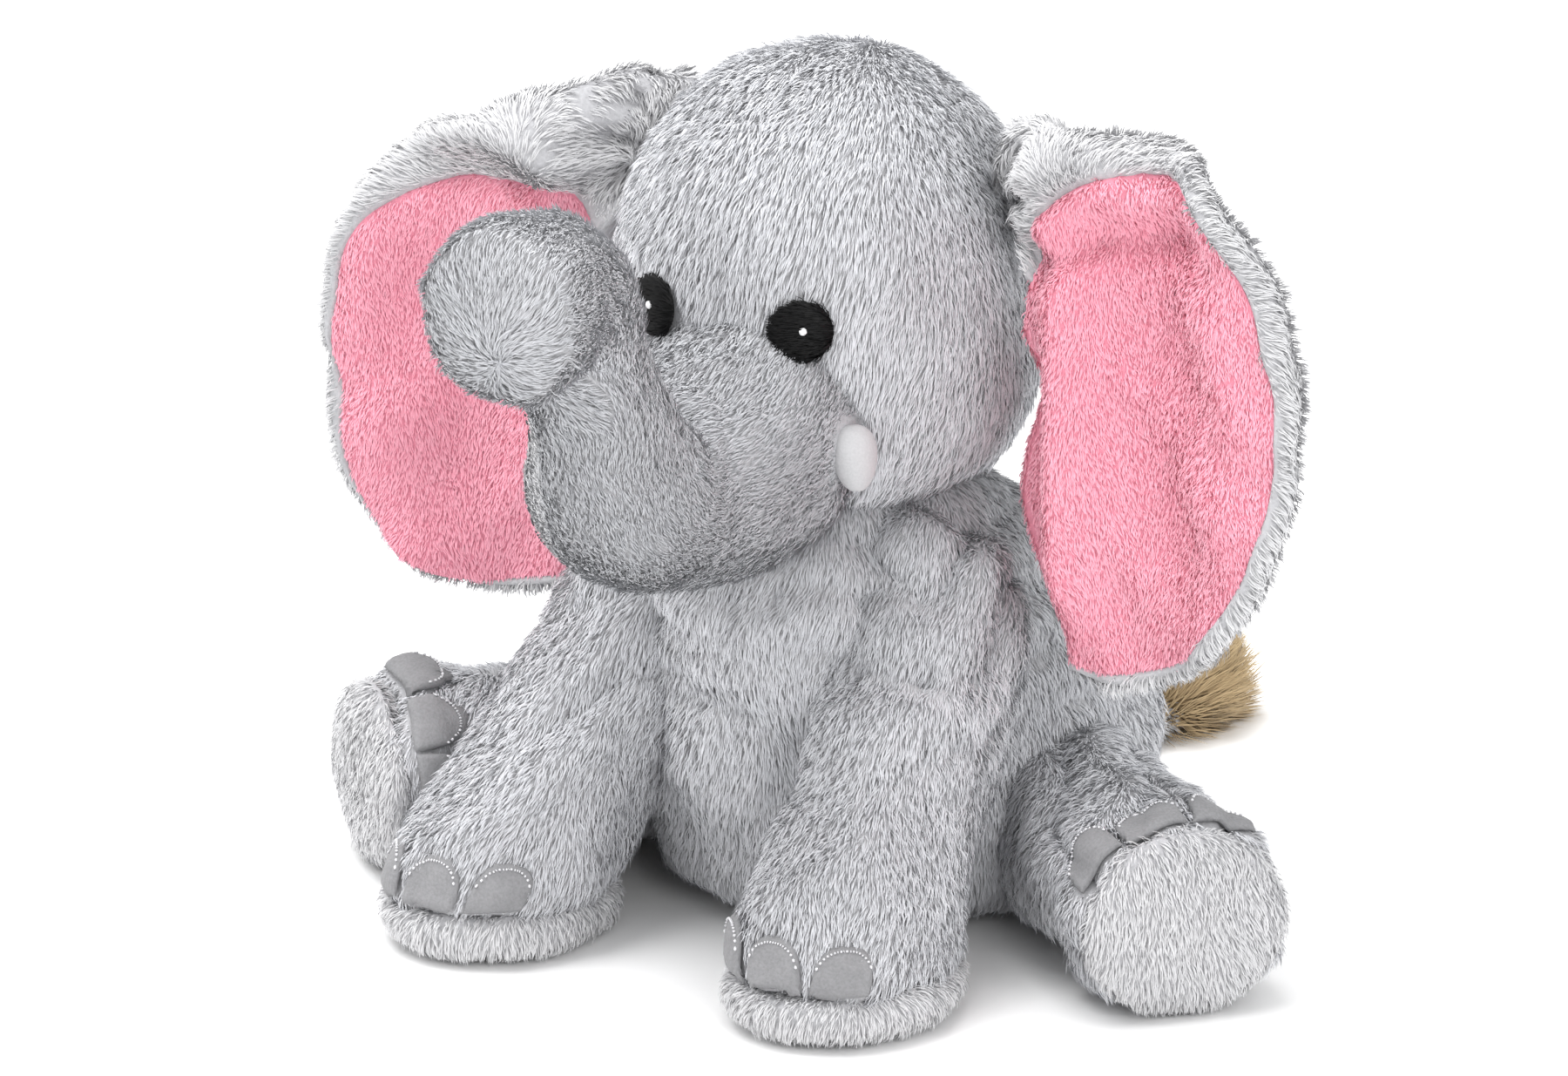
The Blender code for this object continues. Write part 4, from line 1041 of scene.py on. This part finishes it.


# Painted light: the head's pile gets lighter towards the crown and darker towards the chin, as overhead light
# falls.
for made in grow_pile("head_pile", on("head"), head, grey_pile, 216, 0.005, along_way(0, -0.35, -1),
                      hidden_by=[(trunk, -0.003), (torso, -0.003)], trim=both(face_clear, sewn_to_muzzle),
                      tone=lambda root: 0.72 + 1.4 * (root[:, 2] - 0.165),
                      lean=74, width=0.00034, tuft=0.002, sway=0.15, seed=42):
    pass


def trunk_flow(root, normal):
    nearest = np.argmin(np.linalg.norm(root[:, None, :] - trunk_line[None, :, :], axis=2), axis=1)
    way = unit(trunk_way[nearest])
    end = np.array(head_turn @ (tip_middle + Vector((0.002, -0.003, -0.012))))
    inward = unit(end - root)
    front = (normal @ np.array(head_way @ Vector((0, -1, 0))) > 0.6) & (root[:, 2] > 0.165)
    return np.where(front[:, None], inward, way)


unturn = np.array(head_way.inverted())
gusset_front = np.cross(np.array(head_way @ X_AXIS), unit(trunk_way))


def on_gusset(root, normal):
    """Where the trunk's smoother front strip lies."""
    nearest = np.argmin(np.linalg.norm(root[:, None, :] - trunk_line[None, :, :], axis=2), axis=1)
    beside = np.abs((root - trunk_line[nearest]) @ unturn.T[:, 0] - GUSSET_MIDDLE)
    facing = (normal * gusset_front[nearest]).sum(axis=1)
    return (beside < GUSSET_HALF) & (facing > 0.05) & (nearest > 30) & (nearest < 100)


GUSSET_MIDDLE, GUSSET_HALF = -0.0165, 0.007
seam_thread = bmesh.new()
for seam_side in (1, -1):
    seam, outs = [], []
    for step in range(34, 98):
        guess = Vector(trunk_line[step]) + Vector(gusset_front[step]) * 0.022
        beside = head_way @ X_AXIS * (GUSSET_MIDDLE + GUSSET_HALF * seam_side)
        spot, normal, _, _ = trunk_skin.find_nearest(guess + beside)
        seam.append(spot + normal * 0.0012)
        outs.append(normal)
    stitch_row(seam_thread, seam, outs, 0.00034, 0.35)
seam_stitches = piece("trunk_seam_stitches", seam_thread, dark_thread, on_trunk)
for made in grow_pile("trunk_gusset_pile", on_trunk, trunk, pale_pile, 216, 0.0024, trunk_flow,
                      hidden_by=[(head, -0.003)], tone=0.3,
                      trim=lambda root, normal: np.where(on_gusset(root, normal), 1.0, 0.0),
                      lean=68, width=0.00034, tuft=0.0016, sway=0.2, seed=46):
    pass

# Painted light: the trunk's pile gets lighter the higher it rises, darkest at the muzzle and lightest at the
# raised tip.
for made in grow_pile("trunk_pile", on_trunk, trunk, grey_pile, 230, 0.004, trunk_flow,
                      hidden_by=[(head, -0.003)], tone=lambda root: -0.04 + 5.8 * (root[:, 2] - 0.115),
                      trim=lambda root, normal: np.where(
                          on_gusset(root, normal), 0.0, tusk_clear(root, normal)),
                      lean=72, width=0.00034, tuft=0.0018, sway=0.17, seed=43):
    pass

for side_name, (back, lining, hang) in ears.items():
    outward = np.array(hang.to_3x3() @ Vector((0.7, 0, -0.7)))
    ear_heart = np.array(hang @ Vector((0.098, -0.05, 0.165)))
    gather = np.array(hang @ Vector((0.058, -0.045, 0.199)))

    unhang = np.array(hang.inverted())

    def inner_bare(root, normal):
        spot = root @ unhang[:3, :3].T + unhang[:3, 3]
        bare = np.clip((0.08 - spot[:, 0]) / 0.006, 0, 1) * np.clip((0.19 - spot[:, 2]) / 0.006, 0, 1)
        return 1 - bare

    def ear_flow(root, normal):
        near = np.exp(-(np.linalg.norm(root - gather, axis=1) / 0.022) ** 2)[:, None]
        return (unit(root - ear_heart) + 0.6 * outward) * (1 - near) + 1.6 * near * unit(gather - root)

    for made in grow_pile(f"ear_{side_name}_pile", on_ear(), back, pale_pile, 166, 0.004, ear_flow,
                          hidden_by=[(lining, 0.0012), (head, -0.002)], trim=inner_bare, tone=0.45,
                          lean=70, width=0.00037, tuft=0.0026, sway=0.25, seed=44):
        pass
    for made in grow_pile(f"ear_{side_name}_lining_pile", on_ear(), lining, pink_pile, 330, 0.0021,
                          along_way(*(hang.to_3x3() @ Vector((0.25, 0, -1)))), hidden_by=[(back, 0.0004)],
                          tone=0.55, lean=68, width=0.00035, tuft=0.0016, sway=0.3, seed=45):
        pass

for body, (leg, rings) in legs.items():
    forward, down = (1.0, -0.25) if "front" in body else (0.25, -1.0)
    way = forward * np.array((rings[-2].centre - rings[2].centre).normalized()) + np.array((0, 0, down))
    nails_clear = clear_of(nail_spots[body], 0.0029, 0.0022)
    # Painted light and shade: the hind legs take a lighter tone than the front ones to offset the ear's
    # shadow, and each leg's pile darkens above z 0.075, under the body and head.
    base_tone = 0.66 if "front" in body else 0.95

    def leg_tone(root, base_tone=base_tone):
        return base_tone - 7.0 * np.maximum(root[:, 2] - 0.075, 0)

    for made in grow_pile(f"{body}_pile", on(body), leg, grey_pile, 208, 0.0046, along_way(*way),
                          hidden_by=[(torso, -0.003), (soles[body], 0.0002)], trim=nails_clear, tone=leg_tone,
                          lean=74, width=0.00035, tuft=0.0021, sway=0.22, seed=50 + len(body)):
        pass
    for made in grow_pile(f"{body}_sole_pile", on(body), soles[body], pale_pile, 200, 0.0034,
                          along_way(0, 0, -1) if "front" in body else along_way(0.1, 0, -1),
                          hidden_by=[(leg, 0.0)], tone=0.45,
                          lean=70, width=0.00035, tuft=0.0022, sway=0.26, seed=60 + len(body)):
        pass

for made in grow_pile("tail_pile", on("tail"), tail, grey_pile, 120, 0.0065, along_way(0, 1, -0.2),
                      hidden_by=[(torso, -0.002)], lean=62, seed=71):
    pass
for made in grow_pile("tail_tuft_pile", on("tail"), tuft, tan_pile, 420, 0.015, along_way(0, 1, 0.9),
                      lean=52, width=0.0005, tuft=0.003, sway=0.5, seed=72):
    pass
